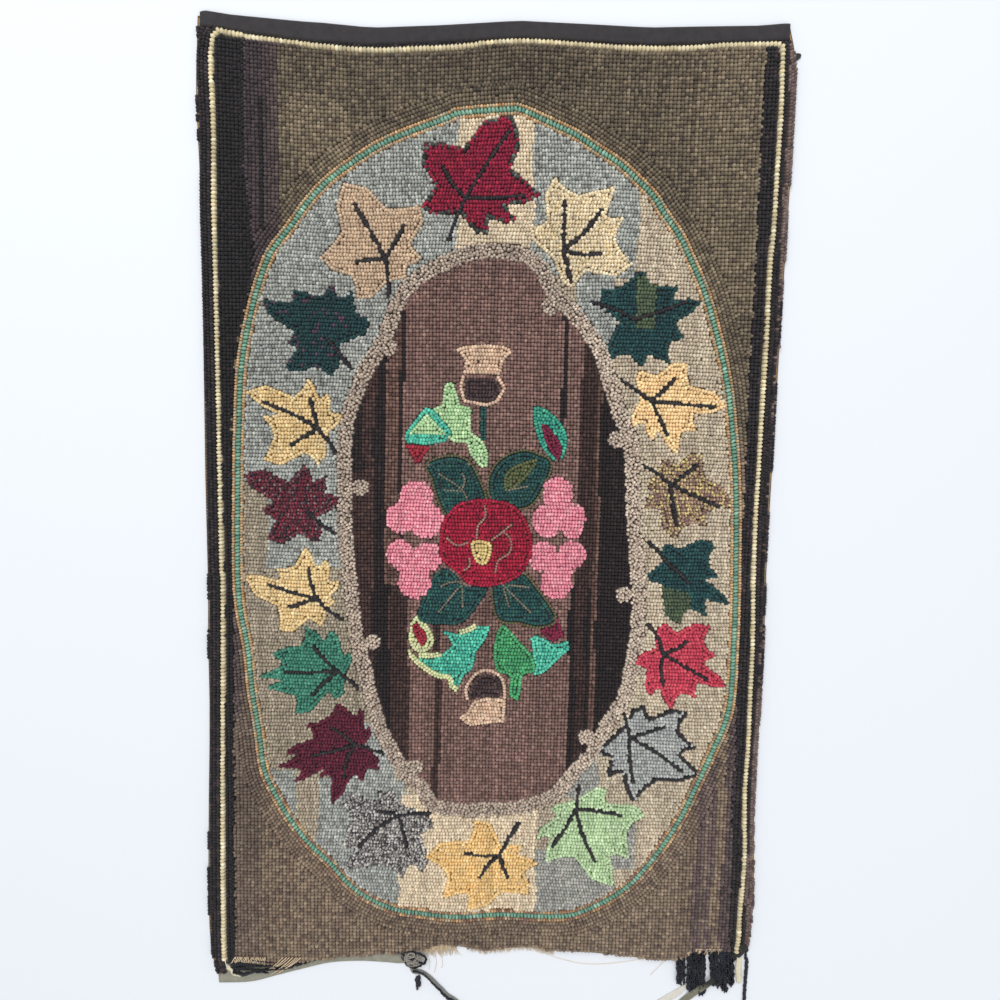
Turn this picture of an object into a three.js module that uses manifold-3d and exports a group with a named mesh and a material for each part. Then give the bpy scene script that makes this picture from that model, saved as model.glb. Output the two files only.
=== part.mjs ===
// A hooked rug of 24 by 40 inches, laid flat with its hooked face up. +Y runs to its top edge, +Z is up.
// The hooked panel has a black tape folded over its top edge. Its bottom edge is worn, so tapes, rag
// strips and ends of jute lie loose beyond it. All sizes are in millimetres.
import * as THREE from 'three';
import { mergeVertices } from 'three/addons/utils/BufferGeometryUtils.js';
import Module from 'manifold-3d';

const wasm = await Module();
wasm.setup();

// Heights over the floor
const pileHeight = 6.6;
const pileUnevenness = 0.5;
const rimHeight = 3.2;
const rimWidth = 6;
const pieceGap = 0.3;
const tapeThickness = 1.2;
const hemThickness = 1.2;
const onTape = tapeThickness + pieceGap;

// The top tape: how far its leaf covers the face, and the radius of its fold
const tapeCover = 15.5;
const foldRadius = tapeThickness + pieceGap + hemThickness / 2;

// The panel's outline, read at these places from the middle of the rug
const topFold = [
  { x: -306, y: 486 }, { x: -272, y: 481 }, { x: -202, y: 476 }, { x: -133, y: 473 }, { x: -59, y: 477 },
  { x: 21, y: 483 }, { x: 93, y: 481 }, { x: 155, y: 479 }, { x: 206, y: 481 }, { x: 267, y: 483 },
  { x: 306, y: 487 },
];
const bottomEdge = [
  { x: -310, y: -559 }, { x: -290, y: -559 }, { x: -289, y: -541 }, { x: -243, y: -540 },
  { x: -207, y: -539 }, { x: -186, y: -537 }, { x: -152, y: -533 }, { x: -106, y: -528 },
  { x: -62, y: -525 }, { x: -39, y: -521 }, { x: 10, y: -524 }, { x: 50, y: -518 }, { x: 80, y: -523 },
  { x: 127, y: -525 }, { x: 162, y: -528 }, { x: 197, y: -532 }, { x: 221, y: -532 }, { x: 234, y: -527 },
  { x: 243, y: -520 }, { x: 287, y: -519 }, { x: 296, y: -511 }, { x: 310, y: -510 },
];
const leftEdge = [
  { y: -570, x: -300 }, { y: -550, x: -303 }, { y: -519, x: -308 }, { y: -459, x: -310 },
  { y: -237, x: -305 }, { y: -15, x: -305 }, { y: 187, x: -305 }, { y: 299, x: -306 },
  { y: 399, x: -308 }, { y: 490, x: -304 },
];
const rightEdge = [
  { y: -570, x: 302 }, { y: -511, x: 304 }, { y: -458, x: 307 }, { y: -363, x: 305 }, { y: -225, x: 304 },
  { y: -101, x: 303 }, { y: 51, x: 304 }, { y: 209, x: 305 }, { y: 311, x: 306 }, { y: 381, x: 305 },
  { y: 435, x: 306 }, { y: 458, x: 303 }, { y: 490, x: 295 },
];
const panelPitch = 24;

// Loose tapes and strips: the middle of each, its width there, and the height of its underside
const bottomTapeRoute = [
  { x: -300, y: -560, width: 20, under: 0 }, { x: -265, y: -558, width: 20, under: 0 },
  { x: -235, y: -550, width: 20, under: 0 }, { x: -209, y: -542, width: 20, under: 0 },
  { x: -175, y: -534, width: 20, under: 0 }, { x: -140, y: -531, width: 20, under: 0 },
  { x: -108, y: -532, width: 19, under: 0 }, { x: -90, y: -538, width: 12, under: 0 },
  { x: -75, y: -549, width: 8, under: 0 }, { x: -54, y: -561, width: 8, under: 0 },
  { x: -40, y: -576, width: 7, under: 0 }, { x: -29, y: -587, width: 6.5, under: 0 },
  { x: -17, y: -599, width: 6.5, under: 0 },
];
const cornerTapeRoute = [
  { x: 294.5, y: -504, width: 6.5, under: 0 }, { x: 293.5, y: -512, width: 6.5, under: 0 },
  { x: 290.5, y: -521, width: 6.5, under: 1.2 }, { x: 286, y: -530, width: 6.5, under: 3.4 },
  { x: 276, y: -543, width: 6, under: 3.6 }, { x: 264, y: -556, width: 6, under: 3.6 },
  { x: 250, y: -567, width: 6, under: 3.4 }, { x: 240, y: -576, width: 6, under: 1.5 },
  { x: 232, y: -583, width: 6, under: 0 }, { x: 218, y: -598, width: 6, under: 0 },
];
const paleRibbonRoute = [
  { x: 241.5, y: -570.8, width: 4.6, under: 0 }, { x: 233, y: -572.4, width: 5.4, under: 0 },
  { x: 221, y: -579, width: 8, under: 0 },
  { x: 208, y: -588, width: 8, under: 0 }, { x: 195, y: -598, width: 7, under: 0 },
];
const blackStripRoute = [
  { x: 302, y: -511.1, width: 3.4, under: 0 }, { x: 301.4, y: -522, width: 3.2, under: 0 },
  { x: 302.2, y: -538, width: 4, under: 0 }, { x: 301.6, y: -556, width: 4.2, under: 0 },
  { x: 302.2, y: -576, width: 4.2, under: 0 }, { x: 301.6, y: -600, width: 4, under: 0 },
];
const creamStripRoute = [
  { x: 296, y: -526, width: 5, under: 0 }, { x: 296, y: -534, width: 6, under: 0 },
  { x: 296, y: -546, width: 6, under: 0 }, { x: 296.2, y: -558, width: 4.5, under: 0 },
];
const bindingTailRoute = [
  { x: 296, y: 451, width: 7, under: 0 }, { x: 303, y: 452.5, width: 7, under: 0 },
  { x: 310.5, y: 455.5, width: 2.4, under: 0 },
];
const stripThickness = 2;
const ribbonThickness = 1;

// Rag strips that hang out of the bottom edge: where each leaves it, where it ends, how far it lies bent
const ragLocks = [
  { root: 226, tip: 223.5, reach: 28, bend: -2, width: 3 },
  { root: 229.5, tip: 229.5, reach: 30, bend: 2, width: 3 },
  { root: 234, tip: 234.6, reach: 33, bend: -1, width: 3.2 },
  { root: 238, tip: 239.6, reach: 38, bend: 1, width: 3 },
  { root: 242.5, tip: 244, reach: 40, bend: -1, width: 3.4 },
  { root: 247, tip: 249, reach: 50, bend: 1.5, width: 3.4 },
  { root: 251.5, tip: 255, reach: 53, bend: -1.5, width: 3.6 },
  { root: 256, tip: 261, reach: 50, bend: 2, width: 3.6 },
  { root: 262, tip: 267.5, reach: 40, bend: -1.5, width: 3.4 },
  { root: 266.5, tip: 272.5, reach: 44, bend: 1, width: 3.4 },
  { root: 271, tip: 278, reach: 48, bend: -1, width: 3.4 },
  { root: 276, tip: 283.5, reach: 41, bend: 1.5, width: 3.4 },
  { root: 280.5, tip: 288.5, reach: 38, bend: 1, width: 3 },
];
const lockThickness = 2.8;
const lockStrip = { from: 223.5, to: 283, width: 3 };

// Rag strips that lie along the worn corner: how far each lies below the panel, where it ends, its width
const wornStrips = [
  { below: 3.2, end: -206, width: 5, wave: 0.5 }, { below: 9.2, end: -216, width: 5, wave: -0.5 },
  { below: 14.8, end: -236, width: 4.2, wave: 0.5 },
];
const wornRoot = { x: -287, from: -542, to: -560, width: 3 };
const wornThickness = 2.4;

// Frayed burlap: each stretch of the edge, how many ends of jute, their reach, and the longest hairs
const jute = { thickness: 0.9, width: 1, stripWidth: 1.6 };
const jutePlaces = [
  { name: 'jute_fray_left', from: -64, to: -30, ends: 15, reach: 6, long: 26, longEvery: 5, under: 0, clear: 0 },
  { name: 'jute_fray_middle', from: -9, to: 86, ends: 34, reach: 6.5, long: 9, longEvery: 6, under: 0, clear: 0 },
  { name: 'jute_fray_right', from: 244, to: 282, ends: 17, reach: 5, long: 8, longEvery: 4,
    under: lockThickness + pieceGap, clear: 0.4 },
];

// The torn knot where the bottom tape came off, and the tuft that hangs from it
const knot = { x: -80, y: -537.8, ring: 6.2, yarn: 1.5, across: 1.55, along: 0.86, high: 0.8 };
const tuftRoute = [
  { x: -79, y: -543, width: 2, under: onTape }, { x: -77.5, y: -551, width: 1.6, under: onTape },
  { x: -75.5, y: -559, width: 2.6, under: 0.2 }, { x: -71.5, y: -565, width: 4, under: 0 },
  { x: -72.5, y: -569, width: 4, under: 0 }, { x: -69, y: -573, width: 3, under: 0 },
];
const tuftThickness = 2;

const colours = {
  pile: 0x6e6354, blackTape: 0x3a3739, oliveTape: 0x8a8a78, darkTape: 0x2c3228, pale: 0xcfcbc0,
  blackRag: 0x26262b, cream: 0xd6cbaa, jute: 0xc9a577,
};

// Reads a table as a line: the one column's value at a given value of the other column.
function readEdge(table, from, to, place) {
  let next = 1;
  while (next < table.length - 1 && table[next][from] < place) next += 1;
  const before = table[next - 1];
  const after = table[next];
  const share = THREE.MathUtils.clamp((place - before[from]) / (after[from] - before[from]), 0, 1);
  return THREE.MathUtils.lerp(before[to], after[to], share);
}

const topAt = (x) => readEdge(topFold, 'x', 'y', x);
const bottomAt = (x) => readEdge(bottomEdge, 'x', 'y', x);
const leftAt = (y) => readEdge(leftEdge, 'y', 'x', y);
const rightAt = (y) => readEdge(rightEdge, 'y', 'x', y);

// Keeps only a geometry's points and faces, moves each point by a rule and closes the surface.
function shaped(geometry, rule) {
  const bare = new THREE.BufferGeometry();
  bare.setAttribute('position', geometry.getAttribute('position').clone());
  if (geometry.index) bare.setIndex(geometry.index.clone());
  const merged = mergeVertices(bare, 1e-5);
  const points = merged.getAttribute('position');
  const point = new THREE.Vector3();
  for (let i = 0; i < points.count; i += 1) {
    point.fromBufferAttribute(points, i);
    rule(point);
    points.setXYZ(i, point.x, point.y, point.z);
  }
  return merged;
}

function solid(geometry) {
  return new wasm.Manifold(new wasm.Mesh({
    numProp: 3,
    vertProperties: new Float32Array(geometry.getAttribute('position').array),
    triVerts: new Uint32Array(geometry.index.array),
  }));
}

function surface(manifold) {
  const mesh = manifold.getMesh();
  const geometry = new THREE.BufferGeometry();
  geometry.setAttribute('position', new THREE.BufferAttribute(new Float32Array(mesh.vertProperties), 3));
  geometry.setIndex(new THREE.BufferAttribute(new Uint32Array(mesh.triVerts), 1));
  return geometry;
}

function joined(geometries) {
  const [first, ...others] = geometries.map(solid);
  return surface(others.reduce((whole, piece) => whole.add(piece), first));
}

// Lays a straight extrusion on a route: its depth follows the route, x lies across it and y stands up.
function strip(route, thickness, { steps = 3 * (route.length - 1), spare = 0, drop = 0 } = {}) {
  const line = new THREE.CatmullRomCurve3(route.map((spot) => new THREE.Vector3(spot.x, spot.y, spot.under)));
  const section = new THREE.Shape([
    new THREE.Vector2(-0.5, 0), new THREE.Vector2(0.5, 0), new THREE.Vector2(0.5, 1), new THREE.Vector2(-0.5, 1),
  ]);
  const straight = new THREE.ExtrudeGeometry(section, { depth: 1, steps, bevelEnabled: false });
  return shaped(straight, (point) => {
    const along = THREE.MathUtils.clamp(point.z, 0, 1);
    const spot = along * (route.length - 1);
    const first = Math.min(Math.floor(spot), route.length - 2);
    const width = THREE.MathUtils.lerp(route[first].width, route[first + 1].width, spot - first);
    const middle = line.getPoint(along);
    const heading = line.getTangent(along);
    const level = Math.hypot(heading.x, heading.y);
    const across = point.x * (width + 2 * spare);
    const ends = spare * (2 * along - 1);
    const up = point.y > 0.5 ? Math.max(middle.z, 0) + thickness + spare : Math.max(middle.z, 0) - drop;
    point.set(
      middle.x - (heading.y / level) * across + (heading.x / level) * ends,
      middle.y + (heading.x / level) * across + (heading.y / level) * ends,
      up,
    );
  });
}

// Columns run from the left edge to the right one: narrow ones at the rim, where the pile rounds off, and
// between them one at each turn of the bottom edge and in the middle of its longer stretches.
function panelColumns() {
  const rim = [0, rimWidth * 0.25, rimWidth];
  const width = rightAt(0) - leftAt(0);
  const inner = bottomEdge.slice(1, -1).flatMap((spot, i, turns) => {
    const after = turns[i + 1] ?? spot;
    const parts = Math.max(Math.round((after.x - spot.x) / panelPitch), 1);
    return Array.from({ length: parts }, (_, part) => THREE.MathUtils.lerp(spot.x, after.x, part / parts));
  });
  const placed = inner.map((x) => {
    const y = bottomAt(x);
    return { x, share: (x - leftAt(y)) / (rightAt(y) - leftAt(y)) };
  });
  const left = rim.map((place) => ({ x: leftAt(-550) + place, share: place / width }));
  const right = rim.map((place) => ({ x: rightAt(-550) - place, share: 1 - place / width })).reverse();
  return [...left, ...placed, ...right];
}

// Rows run from the bottom edge to the top: first those measured from the bottom edge, then even ones,
// then those measured down from the tape's fold, where the hem is a thin tongue inside the tape.
function panelRows() {
  const inner = Math.round(1000 / panelPitch);
  const low = [0, rimWidth * 0.25, rimWidth].map((rise) => ({ rise }));
  const even = Array.from({ length: inner - 1 }, (_, i) => ({ share: (i + 1) / inner }));
  const high = [tapeCover + rimWidth, tapeCover + 2 * pieceGap + 1.5, tapeCover + 2 * pieceGap]
    .map((fall) => ({ fall }));
  const hem = [tapeCover + pieceGap, foldRadius + pieceGap].map((fall) => ({ fall, hem: true }));
  return [...low, ...even, ...high, ...hem];
}

function pileAt(x, y, inFromEdge) {
  const share = THREE.MathUtils.clamp(inFromEdge / rimWidth, 0, 1);
  const crown = rimHeight + (pileHeight - rimHeight) * Math.sqrt(1 - (1 - share) ** 2);
  const ripple = Math.sin(x / 41 + 0.6) * Math.sin(y / 57) + 0.6 * Math.sin(x / 97 - y / 73);
  return crown + share * pileUnevenness * (ripple / 1.6);
}

function hookedPanel() {
  const columns = panelColumns();
  const rows = panelRows();
  const block = new THREE.BoxGeometry(1, 1, 1, columns.length - 1, rows.length - 1, 1);
  return shaped(block, (point) => {
    const column = columns[Math.round((point.x + 0.5) * (columns.length - 1))];
    const row = rows[Math.round((point.y + 0.5) * (rows.length - 1))];
    const rowY = (x) => {
      if (row.rise !== undefined) return bottomAt(x) + row.rise;
      if (row.fall !== undefined) return topAt(x) - row.fall;
      return THREE.MathUtils.lerp(bottomAt(x) + rimWidth, topAt(x) - tapeCover - rimWidth, row.share);
    };
    const roughY = rowY(column.x);
    const x = THREE.MathUtils.lerp(leftAt(roughY), rightAt(roughY), column.share);
    const y = rowY(x);
    const fromSide = Math.min(x - leftAt(y), rightAt(y) - x);
    const fromEnd = Math.min(y - bottomAt(x), topAt(x) - tapeCover - 2 * pieceGap - y);
    const top = row.hem ? onTape + hemThickness : pileAt(x, y, Math.max(Math.min(fromSide, fromEnd), 0));
    const bottom = row.hem ? onTape : 0;
    point.set(x, y, point.z > 0 ? top : bottom);
  });
}

// The black tape: a leaf under the hem, a round fold, and a leaf over the hem.
function topBinding() {
  const over = 2 * foldRadius;
  const inner = foldRadius - tapeThickness;
  const section = new THREE.Shape();
  section.moveTo(-tapeCover, 0);
  section.lineTo(-foldRadius, 0);
  section.absarc(-foldRadius, foldRadius, foldRadius, -Math.PI / 2, Math.PI / 2, false);
  section.lineTo(-tapeCover, over);
  section.lineTo(-tapeCover, over - tapeThickness);
  section.lineTo(-foldRadius, over - tapeThickness);
  section.absarc(-foldRadius, foldRadius, inner, Math.PI / 2, -Math.PI / 2, true);
  section.lineTo(-tapeCover, tapeThickness);
  const straight = new THREE.ExtrudeGeometry(section, { depth: 1, steps: 40, curveSegments: 2, bevelEnabled: false });
  const [start, end] = [-304.5, 295.5];
  return shaped(straight, (point) => {
    const x = THREE.MathUtils.lerp(start, end, point.z);
    point.set(x, topAt(x) + point.x, point.y);
  });
}

// One rag strip below the bottom edge, from its root strip to its tip.
function ragLock(lock) {
  const rootY = bottomAt(lock.root) - pieceGap - lockStrip.width / 2;
  const middle = THREE.MathUtils.lerp(lock.root, lock.tip, 0.5) + lock.bend;
  return strip([
    { x: lock.root, y: rootY, width: lock.width, under: 0 },
    { x: middle, y: rootY - lock.reach * 0.45, width: lock.width, under: 0 },
    { x: lock.tip, y: rootY - lock.reach * 0.85, width: lock.width, under: 0 },
    { x: lock.tip, y: rootY - lock.reach, width: lock.width * 0.7, under: 0 },
  ], lockThickness, { steps: 6 });
}

// A narrow strip that follows the bottom edge and carries what hangs there.
function rootStrip(from, to, width, thickness, under, below) {
  const spots = Math.max(3, Math.ceil((to - from) / 6));
  const route = Array.from({ length: spots }, (_, i) => {
    const x = THREE.MathUtils.lerp(from, to, i / (spots - 1));
    return { x, y: bottomAt(x) - below - width / 2, width: width * 0.86, under };
  });
  return strip(route, thickness, { steps: 2 * spots });
}

function ragLockGroup() {
  const root = rootStrip(lockStrip.from, lockStrip.to, lockStrip.width, lockThickness, 0, pieceGap + 0.3);
  return joined([root, ...ragLocks.map(ragLock)]);
}

// The loose strips of the worn corner run to the right from a root beside the left border.
function wornStripGroup() {
  const root = strip([
    { x: wornRoot.x, y: wornRoot.from, width: wornRoot.width, under: onTape },
    { x: wornRoot.x, y: wornRoot.to, width: wornRoot.width, under: onTape },
  ], wornThickness, { steps: 2 });
  const start = wornRoot.x;
  const strips = wornStrips.map((rag) => {
    const spots = 9;
    const route = Array.from({ length: spots }, (_, i) => {
      const x = THREE.MathUtils.lerp(start, rag.end, i / (spots - 1));
      const wave = rag.wave * Math.sin(i * 1.9);
      return { x, y: -541.4 - rag.below + wave + 0.035 * Math.max(x + 250, 0), width: rag.width, under: onTape };
    });
    return strip(route, wornThickness, { steps: 16 });
  });
  return joined([root, ...strips]);
}

function juteFray(place) {
  const below = pieceGap + 0.2 + place.clear;
  const root = rootStrip(place.from - 1, place.to + 1, jute.stripWidth, jute.thickness, place.under, below);
  const ends = Array.from({ length: place.ends }, (_, i) => {
    const x = THREE.MathUtils.lerp(place.from, place.to, i / (place.ends - 1));
    const top = bottomAt(x) - below - jute.stripWidth / 2;
    const long = i % place.longEvery === 1;
    const reach = (long ? place.long : place.reach) * (0.8 + 0.2 * Math.sin(i * 2.3));
    const lean = Math.sin(i * 1.7) * Math.min(reach * 0.16, 1.2) + (long ? reach * 0.22 : 0);
    return strip([
      { x, y: top, width: jute.width, under: place.under },
      { x: x + lean * 0.3, y: top - reach * 0.5, width: jute.width, under: place.under },
      { x: x + lean, y: top - reach, width: jute.width * 0.5, under: place.under },
    ], jute.thickness, { steps: 3 });
  });
  return joined([root, ...ends]);
}

function tornKnot() {
  const tangle = new THREE.TorusKnotGeometry(knot.ring, knot.yarn, 60, 5, 3, 4);
  const lying = shaped(tangle, (point) => {
    const high = (point.z + knot.ring * 0.5 + knot.yarn) * knot.high;
    point.set(knot.x + point.x * knot.across, knot.y + point.y * knot.along, onTape + Math.max(high, 0));
  });
  return joined([lying, strip(tuftRoute, tuftThickness, { steps: 14 })]);
}

// The panel's underside is let in by one gap around each tape that starts beneath it.
function panelOverTapes() {
  const letIn = (route, thickness) => solid(strip(route, thickness, { spare: pieceGap, drop: 1 }));
  return surface(solid(hookedPanel()).asOriginal()
    .subtract(letIn(bottomTapeRoute, tapeThickness))
    .subtract(letIn(cornerTapeRoute.slice(0, 3), tapeThickness))
    .subtract(letIn(bindingTailRoute, tapeThickness)));
}

function piece(name, geometry, color, roughness) {
  geometry.computeVertexNormals();
  const mesh = new THREE.Mesh(geometry, new THREE.MeshStandardMaterial({ color, roughness, metalness: 0 }));
  mesh.name = name;
  return mesh;
}

const rug = new THREE.Group();
rug.add(piece('hooked_panel', panelOverTapes(), colours.pile, 0.95));
rug.add(piece('top_binding', topBinding(), colours.blackTape, 0.8));
rug.add(piece('binding_tail', strip(bindingTailRoute, tapeThickness), colours.blackTape, 0.8));
rug.add(piece('bottom_tape', strip(bottomTapeRoute, tapeThickness), colours.oliveTape, 0.85));
rug.add(piece('torn_knot', tornKnot(), colours.blackRag, 0.8));
rug.add(piece('corner_tape', strip(cornerTapeRoute, tapeThickness), colours.darkTape, 0.8));
rug.add(piece('pale_ribbon', strip(paleRibbonRoute, ribbonThickness), colours.pale, 0.7));
rug.add(piece('black_strip', strip(blackStripRoute, stripThickness), colours.blackRag, 0.6));
rug.add(piece('cream_strip', strip(creamStripRoute, stripThickness), colours.cream, 0.9));
rug.add(piece('rag_locks', ragLockGroup(), colours.blackRag, 0.5));
rug.add(piece('worn_strips', wornStripGroup(), colours.blackRag, 0.5));
jutePlaces.forEach((place) => rug.add(piece(place.name, juteFray(place), colours.jute, 0.95)));

// The origin lies on the floor under the middle of the whole outline.
const outline = new THREE.Box3().setFromObject(rug);
const middle = outline.getCenter(new THREE.Vector3());
rug.position.set(-middle.x, -middle.y, -outline.min.z);

export default rug;
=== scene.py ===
# A hooked rug of 24 by 40 inches. It lies flat with its hooked face up and its top edge away from the
# camera. Places on it are in chart millimetres: x to the right and y up the rug from near its middle.
import math
import bmesh
import bpy
import numpy as np
from mathutils import Matrix, Vector
from mathutils.bvhtree import BVHTree


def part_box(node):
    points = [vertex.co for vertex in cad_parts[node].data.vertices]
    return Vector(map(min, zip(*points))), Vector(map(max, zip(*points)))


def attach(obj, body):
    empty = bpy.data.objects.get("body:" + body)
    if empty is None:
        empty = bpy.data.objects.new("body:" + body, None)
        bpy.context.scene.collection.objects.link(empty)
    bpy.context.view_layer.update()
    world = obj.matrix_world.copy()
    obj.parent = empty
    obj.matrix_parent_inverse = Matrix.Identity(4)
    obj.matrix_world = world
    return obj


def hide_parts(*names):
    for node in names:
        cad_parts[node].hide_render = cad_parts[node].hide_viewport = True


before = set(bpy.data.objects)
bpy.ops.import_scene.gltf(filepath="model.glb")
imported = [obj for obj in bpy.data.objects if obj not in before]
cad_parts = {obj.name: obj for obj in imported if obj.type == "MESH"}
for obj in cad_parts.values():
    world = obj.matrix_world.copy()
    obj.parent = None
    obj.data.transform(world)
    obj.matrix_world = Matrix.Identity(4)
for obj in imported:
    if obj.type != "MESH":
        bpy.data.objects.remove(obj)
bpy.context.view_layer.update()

# The ground is one piece of jute burlap. Its side edges are rolled in as a thin tan hem, and its worn
# bottom edge is bare. All the wool is hooked through it, so it shows only at the edges and behind.
MM = 0.001
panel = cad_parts["hooked_panel"]
chart_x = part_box("top_binding")[0].x + 304.5 * MM
chart_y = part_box("hooked_panel")[0].y + 559 * MM
canvas_under = 1.6
canvas_over = 2.2
hem_radius = 1.1


def on_chart(x, y, z):
    """A place in the frame, in metres, from chart millimetres and a height over the floor."""
    return Vector((chart_x + x * MM, chart_y + y * MM, z * MM))


def cut_outline(node, height):
    """The outline of a CAD piece at one height over the floor, as chart points in order."""
    cut = bmesh.new()
    cut.from_mesh(node.data)
    bmesh.ops.remove_doubles(cut, verts=cut.verts, dist=0.01 * MM)
    everything = cut.verts[:] + cut.edges[:] + cut.faces[:]
    bmesh.ops.bisect_plane(
        cut, geom=everything, plane_co=(0, 0, height * MM), plane_no=(0, 0, 1), clear_inner=True, clear_outer=True)
    cut.verts.ensure_lookup_table()
    start = cut.verts[0]
    points = [start]
    edge = start.link_edges[0]
    corner = edge.other_vert(start)
    while corner is not start:
        points.append(corner)
        edge = next(e for e in corner.link_edges if e is not edge)
        corner = edge.other_vert(corner)
    outline = np.array([((p.co.x - chart_x) / MM, (p.co.y - chart_y) / MM) for p in points])
    cut.free()
    area = np.sum(outline[:, 0] * np.roll(outline[:, 1], -1) - outline[:, 1] * np.roll(outline[:, 0], -1))
    return outline if area > 0 else outline[::-1]


def beside(line, distance, closed=False):
    """A line moved sideways: to its left by a positive distance."""
    ahead = np.roll(line, -1, axis=0) - np.roll(line, 1, axis=0)
    if not closed:
        ahead[0] = line[1] - line[0]
        ahead[-1] = line[-1] - line[-2]
    ahead = ahead / np.maximum(np.hypot(ahead[:, 0], ahead[:, 1]), 1e-6)[:, None]
    return line + distance * np.column_stack([-ahead[:, 1], ahead[:, 0]])


def linear(red, green, blue):
    """A colour as Blender's shaders take it, from the 0 to 255 a dyer's shade card is given in."""
    shade = np.array([red, green, blue]) / 255
    return np.where(shade <= 0.04045, shade / 12.92, ((shade + 0.055) / 1.055) ** 2.4)


def finish_of(name, roughness, sheen=0.0):
    """A new material with its shader, and short ways to add and join its nodes."""
    material = bpy.data.materials.new(name)
    material.use_nodes = True
    nodes = material.node_tree.nodes
    links = material.node_tree.links
    shader = nodes["Principled BSDF"]
    shader.inputs["Roughness"].default_value = roughness
    shader.inputs["Sheen Weight"].default_value = sheen
    return material, nodes, links, shader


def woven(name, shade, dark_shade, thread, roughness=0.85, relief=0.35):
    """Plain-woven cloth: threads that cross at a pitch in metres, with thick and thin places."""
    material, nodes, links, shader = finish_of(name, roughness, 0.1)
    place = nodes.new("ShaderNodeTexCoord")
    bands = []
    for direction in ("X", "Y"):
        band = nodes.new("ShaderNodeTexWave")
        band.bands_direction = direction
        band.inputs["Scale"].default_value = 0.314 / thread
        band.inputs["Distortion"].default_value = 1.5
        band.inputs["Detail Scale"].default_value = 3.0
        links.new(place.outputs["Object"], band.inputs["Vector"])
        bands.append(band)
    cross = nodes.new("ShaderNodeMath")
    cross.operation = "MULTIPLY"
    links.new(bands[0].outputs["Fac"], cross.inputs[0])
    links.new(bands[1].outputs["Fac"], cross.inputs[1])
    slubs = nodes.new("ShaderNodeTexNoise")
    slubs.inputs["Scale"].default_value = 0.12 / thread
    slubs.inputs["Detail"].default_value = 5.0
    links.new(place.outputs["Object"], slubs.inputs["Vector"])
    both = nodes.new("ShaderNodeMath")
    both.operation = "ADD"
    links.new(cross.outputs["Value"], both.inputs[0])
    links.new(slubs.outputs["Fac"], both.inputs[1])
    tint = nodes.new("ShaderNodeValToRGB")
    tint.color_ramp.elements[0].position = 0.35
    tint.color_ramp.elements[0].color = (*linear(*dark_shade), 1)
    tint.color_ramp.elements[1].position = 0.95
    tint.color_ramp.elements[1].color = (*linear(*shade), 1)
    links.new(both.outputs["Value"], tint.inputs["Fac"])
    links.new(tint.outputs["Color"], shader.inputs["Base Color"])
    bump = nodes.new("ShaderNodeBump")
    bump.inputs["Strength"].default_value = relief
    bump.inputs["Distance"].default_value = thread * 0.4
    links.new(both.outputs["Value"], bump.inputs["Height"])
    links.new(bump.outputs["Normal"], shader.inputs["Normal"])
    return material


def laid_out(name, points, faces, material, smooth=True):
    """A piece of the rug from its points, in metres, and faces. It moves with the rug."""
    mesh = bpy.data.meshes.new(name)
    mesh.from_pydata([tuple(p) for p in points], [], faces)
    mesh.polygons.foreach_set("use_smooth", [smooth] * len(mesh.polygons))
    mesh.materials.append(material)
    mesh.update()
    made = bpy.data.objects.new(name, mesh)
    bpy.context.scene.collection.objects.link(made)
    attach(made, "root")
    return made


def rolled(line, radius, height, sides=6):
    """Points and faces of a closed roll of cloth that follows a closed line."""
    count = len(line)
    points = []
    for side in range(sides):
        turn = 2 * math.pi * side / sides
        moved = beside(line, radius * math.cos(turn), closed=True)
        points.extend(on_chart(x, y, height + radius * math.sin(turn)) for x, y in moved)
    faces = []
    for side in range(sides):
        after = (side + 1) % sides
        for i in range(count):
            j = (i + 1) % count
            faces.append((side * count + i, after * count + i, after * count + j, side * count + j))
    return points, faces


canvas_edge = cut_outline(panel, (canvas_under + canvas_over) / 2)
# How far the worn edges spread past the pattern they were cut to: y and spread at the sides, x at the bottom.
left_spread = [
    (-560, 0.5), (-530, 1.6), (-500, 0.8), (-470, 0.4), (-410, 0.2), (-350, 0.4), (-290, 0), (-230, 0.4), (-170, 0.9),
    (-110, 0), (10, 1.1), (250, 0.9), (310, 0.2), (370, 1), (430, 2.2)]
right_spread = [
    (-530, 0.7), (-500, 1.2), (-470, 1.5), (-410, -0.2), (-350, -1.6), (-290, -1.6), (-230, 0.4), (-170, 1),
    (-110, 0.1), (-50, -1), (10, -1), (190, -0.8), (310, -0.3), (370, 1.1), (420, 0.8), (490, 1.2)]
bottom_spread = [
    (-262, 0), (-250, 5), (-240, 10.5), (-230, 9), (-218, 5), (-200, 5), (-160, 2.7), (-110, 3.3), (-75, 3), (-64, 0),
    (-54, -3), (-46, -3.5), (-31, -2.5), (-18, 0), (280, 0), (289, 2.5), (300, 1)]
middle_x, middle_y = 11.5, 71.1
for place in canvas_edge:
    x, y = place
    side = left_spread if x < 0 else right_spread
    out = np.interp(y, *zip(*side)) * np.clip((abs(x) - 280) / 20, 0, 1)
    place[0] = middle_x + 1.0056 * (x - middle_x) + out * math.copysign(1, x)
    if y < 440:
        down = np.interp(x, *zip(*bottom_spread)) if y < -480 else 0
        place[1] = middle_y + 1.0056 * (y - middle_y) - down
burlap = woven("burlap", (205, 170, 122), (120, 90, 58), thread=1.5 * MM, relief=0.8)
edge_count = len(canvas_edge)
canvas_points = [on_chart(x, y, canvas_under) for x, y in canvas_edge]
canvas_points += [on_chart(x, y, canvas_over) for x, y in canvas_edge]
canvas_faces = [tuple(reversed(range(edge_count))), tuple(range(edge_count, 2 * edge_count))]
for i in range(edge_count):
    j = (i + 1) % edge_count
    canvas_faces.append((i, j, edge_count + j, edge_count + i))
hem_line = beside(canvas_edge, 1.6, closed=True)
hem_points, hem_faces = rolled(hem_line, hem_radius, 1.6)
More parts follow.
